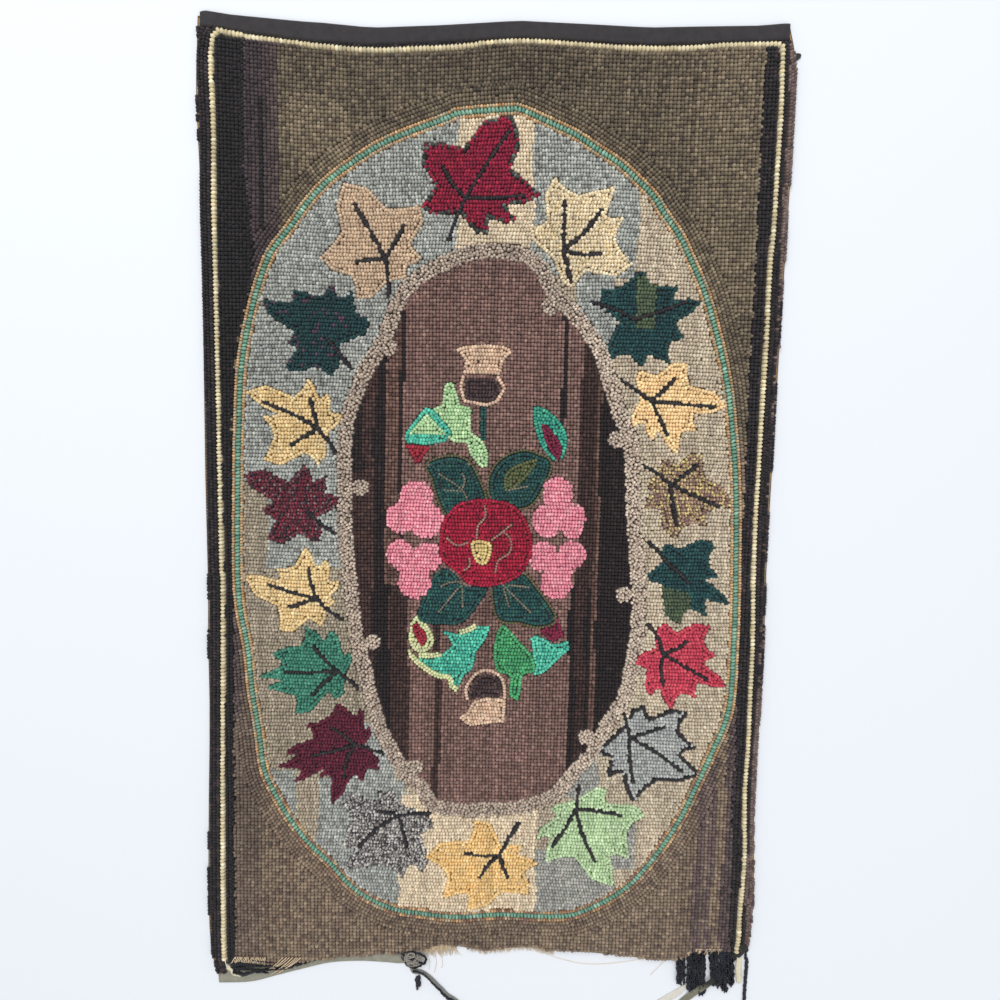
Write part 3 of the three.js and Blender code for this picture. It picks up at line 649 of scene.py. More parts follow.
maple_leaves = [
    dict(wool="crimson", stem=(-48, 262), heart=(-31, 307), veins=[(14, 376), (-56, 340), (32, 311)], edge="slate",
         tips=[(-72, 362), (17, 390), (46, 312), (22, 286), (-7, 272), (-75, 297)], depth=0.72),
    dict(wool="cream_tweed", stem=(82, 222), heart=(73, 256), veins=[(73, 308), (112, 299), (113, 253)],
         tips=[(38, 279), (62, 328), (124, 320), (134, 290), (145, 243), (84, 218)], depth=0.8),
    dict(wool="teal", stem=(104, 203), heart=(150, 186), veins=[(205, 206)],
         tips=[(115, 216), (155, 236), (194, 220), (219, 206), (202, 168), (188, 142), (160, 138), (128, 146)], depth=0.8,
         olive=[(152, 178), (172, 178), (172, 230), (152, 230)]),
    dict(wool="gold", stem=(138, 122), heart=(171, 101), veins=[(196, 126), (240, 96), (190, 64)],
         tips=[(159, 133), (208, 141), (251, 97), (221, 70), (202, 45), (174, 60), (153, 75)], depth=0.8),
    dict(wool="mauve_tweed", stem=(165, 32), heart=(195, 12), veins=[(224, 34), (250, -12), (204, -34)],
         tips=[(189, 39), (228, 44), (262, -10), (236, -32), (202, -47), (170, -14), (170, 10)], depth=0.8),
    dict(wool="teal", stem=(173, -50), heart=(197, -76), veins=[(220, -96)],
         tips=[(194, -52), (246, -54), (250, -88), (265, -118), (240, -131), (211, -141), (177, -95)], depth=0.8,
         olive=[(172, -95), (222, -108), (222, -142), (172, -142)]),
    dict(wool="coral", stem=(176, -141), heart=(195, -175), veins=[(222, -160), (246, -204), (196, -212)],
         tips=[(196, -141), (244, -144), (252, -176), (265, -211), (233, -224), (206, -237), (181, -222), (166, -187)],
         depth=0.8),
    dict(wool="grey", stem=(154, -244), heart=(161, -271), veins=[(200, -258), (222, -310), (167, -324)], edge="vein",
         tips=[(176, -235), (224, -242), (235, -282), (241, -313), (168, -345), (140, -318), (130, -293)], depth=0.8),
    dict(wool="mint", stem=(107, -327), heart=(104, -356), veins=[(156, -362), (128, -418), (78, -402)],
         tips=[(138, -333), (182, -361), (166, -412), (148, -446), (72, -418), (62, -390), (76, -358)], depth=0.8),
    dict(wool="orange", stem=(41, -372), heart=(19, -412), veins=[(-22, -411), (-4, -440), (29, -440)],
         tips=[(-8, -372), (-63, -416), (-44, -463), (-15, -478), (52, -458), (61, -422), (44, -403)], depth=0.78),
    dict(wool="salt", stem=(-58, -364), heart=(-96, -367), veins=[(-122, -362), (-141, -407), (-86, -406)],
         tips=[(-117, -338), (-160, -352), (-159, -408), (-154, -431), (-90, -441), (-68, -434), (-56, -380)], depth=0.82),
    dict(wool="burgundy", stem=(-112, -296), heart=(-144, -286), veins=[(-172, -266), (-194, -300), (-157, -325)],
         tips=[(-165, -238), (-137, -246), (-128, -266), (-121, -314), (-138, -327), (-170, -353), (-184, -324),
               (-212, -330), (-231, -314), (-222, -297), (-197, -265)], depth=0.84),
    dict(wool="green", stem=(-141, -222), heart=(-164, -202), veins=[(-192, -174), (-224, -204), (-194, -231)],
         tips=[(-199, -154), (-172, -157), (-150, -183), (-166, -234), (-210, -251), (-240, -222), (-250, -210), (-236, -184)],
         depth=0.82),
    dict(wool="straw", stem=(-158, -145), heart=(-188, -121), veins=[(-196, -88), (-240, -107), (-217, -132)],
         tips=[(-265, -98), (-231, -89), (-200, -65), (-176, -78), (-163, -102), (-168, -126), (-183, -151), (-227, -158)],
         depth=0.8),
    dict(wool="red_tweed", stem=(-166, -50), heart=(-197, -25), veins=[],
         tips=[(-265, 13), (-200, 24), (-178, 13), (-164, -9), (-188, -58), (-239, -57), (-246, -24)], depth=0.72),
    dict(wool="straw", stem=(-166, 37), heart=(-185, 64), veins=[(-194, 97), (-245, 92), (-215, 45)],
         tips=[(-262, 102), (-195, 116), (-176, 103), (-161, 79), (-186, 27), (-242, 29), (-244, 76)], depth=0.8),
    dict(wool="flecked_teal", stem=(-149, 127), heart=(-176, 161), veins=[],
         tips=[(-242, 198), (-212, 210), (-170, 213), (-149, 208), (-131, 180), (-172, 121), (-219, 127), (-216, 154)],
         depth=0.84),
    dict(wool="tan", stem=(-110, 202), heart=(-114, 243), veins=[(-148, 300), (-94, 279), (-146, 240)],
         tips=[(-158, 320), (-78, 298), (-76, 246), (-92, 224), (-143, 202), (-182, 244)], depth=0.78),
]


def maple_outline(heart, tips, depth):
    """A generic maple leaf: a broad, toothed lobe to each tip, and a notch between every two lobes."""
    runs = np.array(tips, float) - heart
    runs = runs[np.argsort(np.arctan2(runs[:, 1], runs[:, 0]))]
    ways = np.arctan2(runs[:, 1], runs[:, 0])
    reaches = np.hypot(runs[:, 0], runs[:, 1])
    outline = []
    for way, reach, next_way, next_reach in zip(ways, reaches, np.roll(ways, -1), np.roll(reaches, -1)):
        gap = (next_way - way) % (2 * math.pi)
        shoulder = 0.24 * min(gap, math.radians(70))
        notch = (0.35 if gap > math.radians(100) else depth) * min(reach, next_reach)
        outline += [(way, reach), (way + shoulder, 0.84 * reach), (way + gap / 2, notch)]
        outline.append((next_way - shoulder, 0.84 * next_reach))
    return np.array([(heart[0] + far * math.cos(way), heart[1] + far * math.sin(way)) for way, far in outline])


leaf_loops = []
for leaf in maple_leaves:
    heart = leaf["heart"]
    for end in [leaf["stem"], *leaf["veins"]]:
        middle = 0.5 * (np.array(heart) + end) + maker.normal(0, 1.2, 2)
        hook_line(leaf_loops, bend([heart, middle, end]), "vein", 3.2, 3.8)
    outline = maple_outline(heart, leaf["tips"], leaf["depth"])
    if "olive" in leaf:
        patch = area_inside(outline) & area_inside(leaf["olive"]) & ~claimed
        hook_straight(leaf_loops, patch, lambda x, y: "olive", 0.9)
        claimed |= patch
    hook_motif(leaf_loops, outline, leaf["wool"], leaf.get("edge"), wave=0.9)
rug_loops.append(hooked_piece("leaf_loops", leaf_loops, leaf_yarns))

# A rope of nubby undyed yarn frames the middle. It stands a little higher than the rest, in no clear
# rows, and has eight small knobs that turn inwards.
frame_line = bend([
    (-4, 247), (-34, 240), (-70, 222), (-91, 201), (-110, 154), (-131, 117), (-148, 64), (-149, 10), (-149, -44),
    (-143, -99), (-137, -155), (-128, -194), (-119, -233), (-108, -267), (-86, -307), (-64, -330), (-48, -350),
    (7, -351), (49, -345), (75, -333), (98, -304), (115, -284), (127, -257), (144, -228), (153, -194), (158, -137),
    (156, -93), (148, -6), (144, 53), (132, 80), (116, 127), (106, 153), (78, 189), (59, 204), (45, 232), (28, 243),
], closed=True, steps=6)
frame_width = 14.5
frame_knobs = [(-110, 152), (-139, 2), (-126, -168), (-78, -311), (60, 197), (135, 59), (149, -110), (113, -272)]
knob_across = 17
frame_yarns = dict(
    nubby=dict(
        shades=[(186, 168, 152, 5), (206, 192, 174, 3), (152, 134, 120, 3), (104, 86, 80, 0.8)], tweed=True, drift=0.06),
    pale=dict(
        shades=[(208, 190, 172, 5), (224, 210, 192, 3), (172, 152, 136, 3), (112, 94, 88, 0.8)], tweed=True, drift=0.06))
medallion = area_inside(frame_line)
frame_area = area_inside(beside(frame_line, -frame_width if np.sum(
    frame_line[:, 0] * np.roll(frame_line[:, 1], -1) - frame_line[:, 1] * np.roll(frame_line[:, 0], -1)) > 0
    else frame_width, closed=True))
frame_area &= ~medallion
for x, y in frame_knobs:
    frame_area |= area_inside(ball(x, y, knob_across))
frame_area &= ~claimed
frame_loops = []
hook_holes(frame_loops, frame_area, lambda x, y: "pale" if x > 85 else "nubby", long=3.4, tall=0.5)
claimed |= frame_area
rug_loops.append(hooked_piece("frame_loops", frame_loops, frame_yarns))

# The oval is one row of sea-green strips hooked across, between two thin rows of orange-tan.
oval = bend([
    (14, 397), (-38, 392), (-51, 387), (-112, 363), (-147, 342), (-174, 322), (-194, 301), (-215, 273), (-236, 245),
    (-249, 210), (-260, 167), (-267, 125), (-270, 72), (-272, 7), (-273, -113), (-263, -180), (-259, -225),
    (-252, -270), (-246, -317), (-234, -345), (-218, -374), (-196, -403), (-175, -423), (-145, -456), (-106, -477),
    (-73, -483), (-28, -487), (21, -483), (68, -484), (101, -482), (125, -472), (148, -459), (171, -440),
    (197, -406), (221, -365), (241, -318), (255, -283), (270, -237), (272, -169), (271, -102), (266, 8), (256, 93),
    (248, 135), (238, 171), (224, 213), (205, 253), (192, 276), (175, 298), (166, 312), (151, 326), (130, 344),
    (105, 359), (82, 373), (56, 384), (29, 395),
], closed=True, steps=5)
oval_yarns = dict(
    sea=dict(shades=[(118, 163, 141, 4), (99, 147, 127, 2), (142, 178, 158, 1)], drift=0.1),
    orange=dict(shades=[(196, 160, 118, 3), (178, 136, 96, 2), (206, 174, 134, 1), (168, 156, 132, 2)], drift=0.12),
    rust=dict(shades=[(152, 116, 92, 3), (136, 100, 82, 2)], drift=0.12),
)
oval_loops = []
for x, y, way in evenly(oval, 3.9, closed=True):
    hook(oval_loops, x, y, way + 0.2, "sea", 3.3, 5.6, 0.3, pushed=True)
for offset in (-4.5, 4.5):
    for x, y, way in evenly(beside(oval, offset, closed=True), 3.1, closed=True):
        yarn = "rust" if y < -300 and maker.random() < 0.5 else "orange"
        hook(oval_loops, x, y, way, yarn, 3.1, 3.4, 0.0, True)
rug_loops.append(hooked_piece("oval_loops", oval_loops, oval_yarns))
inside_oval = area_inside(oval)

# The border is a single row of cream strips hooked across, with black wool on both sides of it. The
# bottom run of the border has worn away. Brown and plum rows were hooked outside the black at the right.
cream_line = np.vstack([
    bend([(-294.3, -546), (-294.8, -520), (-294.4, -480), (-294, -411), (-290, -124), (-291, -80), (-292, 93),
          (-293, 218), (-294, 299), (-293, 369), (-295, 438), (-292, 463)]),
    bend([(-288, 469), (-262, 464.5), (-240, 461.5), (-200, 457), (-160, 453.5), (-120, 452.5), (-80, 455), (-40, 457.5),
          (0, 463), (40, 464), (80, 462), (120, 460), (160, 459.5), (200, 461), (240, 464.5), (288, 466.5)]),
    bend([(292, 464), (292.4, 440), (293.4, 400), (292.6, 340), (292.2, 280), (290.5, 240), (290.6, 160), (289.6, 80),
          (289, 0), (289, -40), (290.4, -100), (292.6, -160), (293, -240), (293.6, -280), (292.2, -320), (293.6, -360),
          (295.8, -400), (295.7, -440), (294, -480), (294.3, -505), (292.5, -525)]),
])
border_yarns = dict(
    cream=dict(shades=[(218, 205, 168, 4), (206, 191, 153, 3), (226, 215, 182, 1)], drift=0.06),
    black=dict(shades=[(36, 32, 35, 4), (28, 26, 28, 3), (52, 42, 46, 2)], drift=0.1, rows=0.2),
    ink=dict(shades=[(29, 26, 29, 4), (23, 21, 23, 3), (40, 33, 36, 1)], drift=0.1, rows=0.1),
    brown=dict(shades=[(116, 98, 92, 3), (100, 84, 80, 2), (88, 72, 70, 1)], drift=0.1),
)
border_loops = []
for x, y, way in evenly(cream_line, 4.1):
    hook(border_loops, x, y, way + 0.15, "cream", 3.9, 5.4, 0.2, pushed=True)
inside_cream = area_inside(np.vstack([cream_line, [(293, -600), (-294.3, -600)]]))


def outer_wool(x, y):
    """Black wool outside the cream, with an outer row of brown at the right that is mostly worn off halfway."""
    share = np.interp(y, [-230, -180, 180, 240], [1, 0.15, 0.15, 1])
    return "brown" if x > 299.5 and maker.random() < share else "black"


right_row = sorted(((x - 4.2, y) for x, y in canvas_edge if x > 290 and -500 < y < 462), key=lambda place: place[1])
for x, y, way in evenly(right_row, loop_pitch):
    hook(border_loops, x, y, way, outer_wool(x, y))
for offset in (5.0, 9.0, 13.0):
    for x, y, way in evenly(beside(cream_line, offset), loop_pitch):
        hook(border_loops, x, y, way, outer_wool(x, y))
hook_holes(border_loops, canvas & ~inside_cream, outer_wool)
claimed |= ~inside_cream
band = inside_cream & ~inside_oval & ~claimed
columns = chart_left + 0.5 + np.arange(columns_wide)
rows = row_middles[:, None]
right_start = np.interp(
    row_middles, [-530, -500, -470, -425, -375, -325, -275, -225, -150, 0, 460],
    [286.5, 285, 283, 283, 281.5, 280, 281.5, 278, 276.5, 276, 276.3])
right_band = band & (columns > right_start[:, None])
left_end = np.interp(
    row_middles, [-530, -430, -325, -225, -125, 75, 125, 170, 210, 250, 290, 325, 460],
    [-282.3, -282.3, -280.5, -280.5, -278.5, -277.5, -275.5, -267.5, -258, -253.5, -256.5, -262, -262])
left_band = band & (columns < left_end[:, None])
for side, yarn in ((left_band, "ink"), (right_band, "black")):
    hook_straight(border_loops, side, lambda x, y: yarn, 0.4, long=3.9, in_line=True)
    claimed |= side
rug_loops.append(hooked_piece("border_loops", border_loops, border_yarns))

# The middle's ground was hooked in upright stripes of whatever brown wools were to hand: mauve-brown in
# the middle and chocolate to near-black at the sides.
middle_yarns = dict(
    mauve=dict(shades=[(132, 102, 94, 4), (116, 88, 81, 3), (146, 116, 105, 1)], drift=0.08, rows=0.09),
    brown=dict(shades=[(106, 79, 70, 4), (88, 64, 57, 3), (123, 95, 84, 1)], drift=0.08, rows=0.12),
    chocolate=dict(shades=[(66, 46, 42, 4), (54, 36, 35, 3), (78, 56, 50, 1)], drift=0.1, rows=0.12),
    dark=dict(shades=[(36, 25, 27, 4), (28, 21, 23, 3), (48, 36, 36, 1)], drift=0.1, rows=0.12),
)
# Down to which y each set of stripes runs, and each stripe's wool and the x where it ends.
middle_stripes = [
    (66, [("dark", -136), ("chocolate", -122), ("dark", -112.5), ("brown", -98), ("dark", -94), ("mauve", 75),
          ("dark", 80), ("mauve", 96), ("chocolate", 114), ("brown", 119), ("dark", 200)]),
    (20, [("dark", -136), ("chocolate", -125), ("dark", -113.5), ("brown", -98), ("dark", -94), ("mauve", 96),
          ("chocolate", 114), ("brown", 119), ("dark", 200)]),
    (-105, [("chocolate", -125), ("dark", -113.5), ("brown", -98), ("dark", -94), ("mauve", 96), ("chocolate", 114),
            ("brown", 119), ("dark", 200)]),
    (-600, [("chocolate", -125), ("dark", -107), ("chocolate", -86), ("mauve", -57.5), ("chocolate", -50),
            ("mauve", 91), ("dark", 97), ("chocolate", 109), ("dark", 114), ("brown", 120), ("dark", 200)]),
]


def middle_wool(x, y):
    """The stripe a loop of the middle's ground falls in."""
    stripes = next(stripes for low, stripes in middle_stripes if y > low)
    return next(wool for wool, end in stripes if x + 1.2 * math.sin(y / 31) < end)


middle_loops = []
hook_straight(middle_loops, medallion & ~claimed, middle_wool, 0.5, long=3.6, in_line=True)
claimed |= medallion
rug_loops.append(hooked_piece("middle_loops", middle_loops, middle_yarns))

# The ground of the leaf ring runs in wavy rows, in patches of light blue-grey tweed, cream and taupe.
ring_yarns = dict(
    blue_grey=dict(shades=[(168, 170, 163, 4), (152, 154, 149, 3), (184, 186, 178, 2), (134, 134, 128, 1)], drift=0.06),
    cream=dict(shades=[(224, 206, 178, 4), (214, 196, 168, 3), (230, 216, 188, 1)], drift=0.05),
    light=dict(shades=[(200, 186, 162, 4), (188, 172, 150, 3), (210, 197, 174, 2)], drift=0.07, rows=0.07),
    taupe=dict(shades=[(180, 166, 144, 4), (168, 152, 132, 3), (190, 178, 156, 2)], drift=0.07, rows=0.07),
    shade=dict(shades=[(164, 152, 132, 4), (150, 138, 120, 3), (176, 164, 144, 2)], drift=0.08, rows=0.08),
    iron=dict(shades=[(166, 164, 156, 4), (150, 150, 144, 3), (178, 176, 168, 2)], drift=0.06),
)
ring_patches = [
    dict(left=-39, right=40, bottom=240, top=400, wool="cream"),
    dict(left=-96, right=60, bottom=-490, top=-340, wool="cream"),
    dict(left=40, right=150, bottom=228, top=400, wool="blue_grey"),
    dict(left=88, right=128, bottom=130, top=228, wool="blue_grey"),
    dict(left=-300, right=-39, bottom=2, top=400, wool="blue_grey"),
    dict(left=-240, right=-150, bottom=-88, top=2, wool="blue_grey"),
    dict(left=-146, right=-100, bottom=-345, top=-262, wool="blue_grey"),
    dict(left=-245, right=-212, bottom=-375, top=-315, wool="blue_grey"),
    dict(left=-212, right=-186, bottom=-405, top=-315, wool="taupe"),
    dict(left=-186, right=-90, bottom=-480, top=-325, wool="blue_grey"),
    dict(left=90, right=128, bottom=-345, top=-290, wool="iron"),
    dict(left=142, right=172, bottom=-424, top=-350, wool="iron"),
    dict(left=60, right=148, bottom=-480, top=-405, wool="iron"),
    dict(left=-300, right=-100, bottom=-480, top=2, wool="shade"),
]


def ring_wool(x, y):
    """The patch a loop of the ring's ground falls in."""
    u = x + 2 * math.sin(y / 17)
    v = y + 2 * math.sin(x / 19)
    for patch in ring_patches:
        if patch["left"] <= u < patch["right"] and patch["bottom"] <= v < patch["top"]:
            return patch["wool"]
    return "light" if x > 120 else "taupe"


ring_loops = []
hook_straight(ring_loops, inside_oval & ~claimed, ring_wool, 1.1)
claimed |= inside_oval
rug_loops.append(hooked_piece("ring_loops", ring_loops, ring_yarns))

# The corner fields are hooked in olive-brown and taupe wools, in straight rows save the few that follow
# the oval. Plum and mauve stripes run down the left side at the top and the right side at the bottom.
field_yarns = dict(
    olive=dict(shades=[(112, 100, 82, 4), (98, 86, 70, 3), (126, 112, 92, 2), (82, 72, 62, 1)], drift=0.1, rows=0.07),
    light_olive=dict(shades=[(126, 113, 92, 4), (110, 97, 79, 3), (141, 126, 104, 2), (92, 81, 70, 1)], rows=0.07),
    dark_olive=dict(shades=[(102, 91, 75, 4), (89, 78, 64, 3), (115, 102, 84, 2), (75, 66, 57, 1)], rows=0.07),
    taupe=dict(shades=[(130, 112, 95, 4), (116, 98, 83, 3), (144, 126, 105, 2), (98, 83, 73, 1)], drift=0.08, rows=0.08),
    light_taupe=dict(shades=[(134, 117, 99, 4), (121, 103, 88, 3), (148, 130, 110, 2), (104, 89, 78, 1)], rows=0.08),
    dark_taupe=dict(shades=[(114, 98, 86, 4), (102, 86, 76, 3), (126, 110, 95, 2)], rows=0.1),
    mauve=dict(shades=[(90, 76, 74, 4), (76, 62, 63, 3), (104, 90, 85, 1)], drift=0.08, rows=0.12),
    rosy_mauve=dict(shades=[(108, 90, 86, 4), (92, 76, 76, 3), (120, 104, 97, 1)], drift=0.08, rows=0.1),
    plum=dict(shades=[(72, 60, 62, 3), (60, 50, 53, 2)], drift=0.1, rows=0.1),
    black=dict(shades=[(36, 32, 35, 4), (28, 26, 28, 3)], drift=0.1),
)
# The upright stripes at the right below y -236: each one's wool and the x where it ends.
lower_right_stripes = [
    ("taupe", 240), ("rosy_mauve", 249), ("dark_taupe", 253), ("rosy_mauve", 261), ("taupe", 272), ("mauve", 320)]


def field_wool(x, y):
    """The wool of a loop in the corner fields."""
    place = x + 1.0 * math.sin(y / 27)
    if place < -226 and y > 200:
        if -246.5 < place < -241 and 270 < y < 405:
            return "black"
        return "plum" if place < -238 else "mauve"
    if -280 < place < -272 and -260 < y < -140:
        return "mauve"
    if place > 228 and y < -236:
        return next(wool for wool, end in lower_right_stripes if place < end)
    if y > 60:
        if (x > 205 and y > 190) or math.hypot(x + 190, y - 370) < 40:
            return "light_olive"
        return "dark_olive" if y > 412 and -110 < x < 90 else "olive"
    if x > 120 and y < -380:
        return "light_taupe"
    return "dark_taupe" if x < -250 else "taupe"


field = inside_cream & canvas & ~claimed
for name, side in (("left_field_loops", columns < 0), ("right_field_loops", columns >= 0)):
    field_loops = []
    for offset in (8.6, 12.8, 17.0, 21.2):
        line = beside(oval, -offset if np.sum(
            oval[:, 0] * np.roll(oval[:, 1], -1) - oval[:, 1] * np.roll(oval[:, 0], -1)) > 0 else offset, closed=True)
        for x, y, way in evenly(line, 3.8, closed=True):
            if is_in(field & side, x, y):
                hook(field_loops, x, y, way, field_wool(x, y), 3.8)
    hook_straight(field_loops, field & side, field_wool, 0.5, long=4.0, in_line=True)
    rug_loops.append(hooked_piece(name, field_loops, field_yarns))

# The top edge is bound with black cotton tape 34 mm wide. It is folded over the hem, leaf over leaf, and
# hemmed down on the face with black thread. It puckers a little along its hemmed edge.
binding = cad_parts["top_binding"]
binding_shape = BVHTree.FromPolygons([v.co for v in binding.data.vertices], [p.vertices for p in binding.data.polygons])
tape_cover = 15.5
tape_thickness = 1.2
fold_radius = 2.1
black_tape = woven("black_tape", (56, 52, 54), (32, 30, 32), thread=0.7 * MM, relief=0.8)
black_thread, nodes, links, shader = finish_of("black_thread", 0.6)
shader.inputs["Base Color"].default_value = (*linear(34, 32, 34), 1)


def fold_at(x):
    """How far up the chart the tape's fold lies."""
    sewn = binding_shape.ray_cast(on_chart(np.clip(x, -303, 293), 540, fold_radius), Vector((0, -1, 0)))[0]
    return (sewn.y - chart_y) / MM + np.interp(x, [-306, -300, -260, -180, -120, 300], [1.5, 3.4, 3.8, 3.8, 1.8, 1.5])


def skin(rings, sides):
    """The faces of a long form from its rings of points, closed at both ends."""
    faces = [tuple(reversed(range(sides))), tuple(range((rings - 1) * sides, rings * sides))]
    for i in range(rings - 1):
        for k in range(sides):
            a = i * sides + k
            b = i * sides + (k + 1) % sides
            faces.append((a, b, b + sides, a + sides))
    return faces


def strand(places, radii, sides=4):
    """Points and faces of a round thread through places in chart millimetres, as thick as its radii say."""
    places = [on_chart(*place) for place in places]
    points = []
    for i, place in enumerate(places):
        ahead = places[min(i + 1, len(places) - 1)] - places[max(i - 1, 0)]
        side = ahead.cross(Vector((0, 0, 1)))
        if side.length < 0.1 * ahead.length:
            side = ahead.cross(Vector((1, 0, 0)))
        side.normalize()
        over = ahead.cross(side).normalized()
        for turn in np.linspace(0, 2 * math.pi, sides, endpoint=False):
            points.append(place + (math.cos(turn) * side + math.sin(turn) * over) * float(radii[i] * MM))
    return points, skin(len(places), sides)


def gathered(forms):
    """The points and faces of several forms as one."""
    points = []
    faces = []
    for form_points, form_faces in forms:
        faces += [tuple(len(points) + i for i in face) for face in form_faces]
        points += form_points
    return points, faces


flats = np.linspace(tape_cover, fold_radius, 6)
turns = np.linspace(-0.5 * math.pi, -1.5 * math.pi, 9)[1:-1]
inner_radius = fold_radius - tape_thickness
section = [(d, 0) for d in flats]
section += [(fold_radius * (1 + math.cos(a)), fold_radius * (1 + math.sin(a))) for a in turns]
section += [(d, 2 * fold_radius) for d in flats[::-1]]
section += [(d, 2 * fold_radius - tape_thickness) for d in flats]
section += [(fold_radius + inner_radius * math.cos(a), fold_radius + inner_radius * math.sin(a)) for a in turns[::-1]]
section += [(d, tape_thickness) for d in flats[::-1]]
tape_points = []
tape_stations = np.arange(-305.4, 299, 2.0)
for x in tape_stations:
    fold = fold_at(x)
    cover = fold - np.interp(x, *tape_edge.T) + 0.25 * math.sin(x / 6.1)
    for below, height in section:
        pucker = 0.3 * math.sin(x / 5.7 + 2 * math.sin(x / 41)) * (below / tape_cover) ** 2 if height > 2.5 else 0
        tape_points.append(on_chart(x, fold - below * cover / tape_cover, height + pucker))
top_tape = laid_out("binding_tape", tape_points, skin(len(tape_stations), len(section)), black_tape)
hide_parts("top_binding")
hemming = []
for x in np.arange(-300, 291, 6.0):
    y = np.interp(x, *tape_edge.T) + 1.2
    hemming.append(strand([(x, y - 1.6, 4.2), (x + 0.9, y, 4.7), (x + 1.8, y + 0.3, 4.2)], [0.3, 0.35, 0.3]))
hemming_thread = laid_out("binding_hemming", *gathered(hemming), black_thread)

# The torn end of that tape sticks out at the right edge. The other tapes and strips lie loose at the bottom:
# the olive-grey tape that was sewn behind the edge and tore off, the dark tape end at the right corner with
# a pale ribbon under it, a long black strip, and a cream strip pulled out of the border.
def cloth_strip(route, thickness, corners=0.35, crimp=0.0, twist=0.0, steps=8, sides=10):
    """Points and faces of a strip along a route of places: x, y, the strip's width there, its underside's height."""
    places = bend([(x, y, under, width) for x, y, width, under in route], steps=steps)
    ahead = np.gradient(places[:, :2], axis=0)
    ahead /= np.hypot(ahead[:, 0], ahead[:, 1])[:, None]
    turns = np.linspace(0, 2 * math.pi, sides, endpoint=False) + math.pi / sides
    across = 0.5 * np.sign(np.cos(turns)) * np.abs(np.cos(turns)) ** corners
    over = 0.5 * np.sign(np.sin(turns)) * np.abs(np.sin(turns)) ** corners
    start = maker.uniform(0, 6)
    far = np.concatenate([[0], np.cumsum(np.hypot(*np.diff(places[:, :2], axis=0).T))])
    points = []
    for (x, y, under, width), (ahead_x, ahead_y), along in zip(places, ahead, far):
        squeeze = crimp * math.sin(start + along * 1.3)
        for u, v in zip(across * width * (1 - squeeze), over * thickness * (1 + squeeze)):
            lean = twist * along
            side = u * math.cos(lean) - v * math.sin(lean) + crimp * 1.2 * math.sin(start + along * 0.7)
            height = under + thickness / 2 + u * math.sin(lean) + v * math.cos(lean)
            points.append(on_chart(x - ahead_y * side, y + ahead_x * side, max(height, 0.05)))
    return points, skin(len(places), sides)


def fading(material, axis, start, end, shade):
    """Lets a cloth change to another shade from one place to another along the rug, in metres."""
    nodes = material.node_tree.nodes
    links = material.node_tree.links
    shader = nodes["Principled BSDF"]
    place = nodes.new("ShaderNodeTexCoord")
    split = nodes.new("ShaderNodeSeparateXYZ")
    links.new(place.outputs["Object"], split.inputs["Vector"])
    share = nodes.new("ShaderNodeMapRange")
    share.inputs["From Min"].default_value = start
    share.inputs["From Max"].default_value = end
    links.new(split.outputs[axis], share.inputs["Value"])
    mix = nodes.new("ShaderNodeMixRGB")
    mix.inputs["Color2"].default_value = (*linear(*shade), 1)
    links.new(share.outputs["Result"], mix.inputs["Fac"])
    links.new(shader.inputs["Base Color"].links[0].from_socket, mix.inputs["Color1"])
    links.new(mix.outputs["Color"], shader.inputs["Base Color"])
    return material


# Each route's places are x, y, the strip's width there and its underside's height.
tail_route = [(296, 452, 7, 0), (303, 453.5, 8, 0.2), (309.5, 456.5, 6, 0), (312, 458, 2, 0)]
bottom_route = [
    (-302.2, -564.5, 22, 0), (-267, -562.5, 22, 0), (-236.8, -554.5, 21, 0), (-210.6, -547.5, 20, 0),
    (-176.3, -538.4, 20, 0), (-141.1, -535.3, 20, 0), (-108.9, -536.3, 20, 0), (-94, -538.5, 18, 0), (-84, -541, 12, 0)]
torn_route = [
    (-78, -548, 8, 0), (-77, -556.4, 6, 0), (-68.5, -557.8, 5.6, 0), (-62.3, -561.4, 5.6, 0), (-56, -566.9, 5.6, 0.2),
    (-50.7, -572.5, 5.6, 0.3), (-45.3, -578, 5.6, 0.2), (-38.1, -585.4, 5.2, 0), (-29, -591.5, 5.2, 0), (-17, -602, 5, 0)]
corner_route = [
    (303, -512.5, 7, 3.2), (300, -518.5, 8.5, 3.6), (295, -526, 8.5, 3), (289, -533.5, 8, 0.6), (280, -543.5, 7, 0),
    (273, -551.5, 6, 1.2), (266.4, -558.7, 6, 3.6), (258, -566, 7, 3.6), (249, -572, 8, 3.2), (241, -581, 8, 0.8),
    (233.6, -588, 7.5, 0.1), (219.5, -603, 7, 0)]
ribbon_route = [
    (250, -572.4, 1.5, 0), (245, -569.8, 2.5, 0), (237, -569.5, 5, 0), (228.3, -576.6, 8, 0), (218, -583.5, 8.5, 0),
    (205, -592, 8, 0), (193, -601, 7, 0)]
black_route = [
    (304, -514, 3.5, 0.9), (304.3, -519, 4, 0.9), (305.6, -521.5, 4.2, 0.6), (304.1, -526, 2.2, 0), (304.7, -531, 3.6, 0),
    (306, -538, 4.2, 0), (305.5, -559, 4, 0), (305.3, -573, 4, 0), (305.5, -590, 4, 0), (305.3, -604, 4, 0)]
cream_route = [(296, -530, 5, 0.9), (297, -535.5, 6, 0.6), (296.6, -545, 7.3, 0), (298, -554.5, 7, 0), (297.9, -562.5, 5, 0)]
left_cream_route = [
    (-294.4, -543, 3.5, 2.6), (-291.7, -551.1, 3.6, 3.4), (-286.7, -557, 4.2, 4.0), (-284.5, -562, 3, 3.6),
    (-276, -566, 2, 1.4)]
olive_tape = fading(
    woven("olive_tape", (160, 158, 142), (124, 122, 106), thread=0.7 * MM, relief=0.5),
    "X", on_chart(-84, 0, 0).x, on_chart(-74, 0, 0).x, (118, 121, 116))
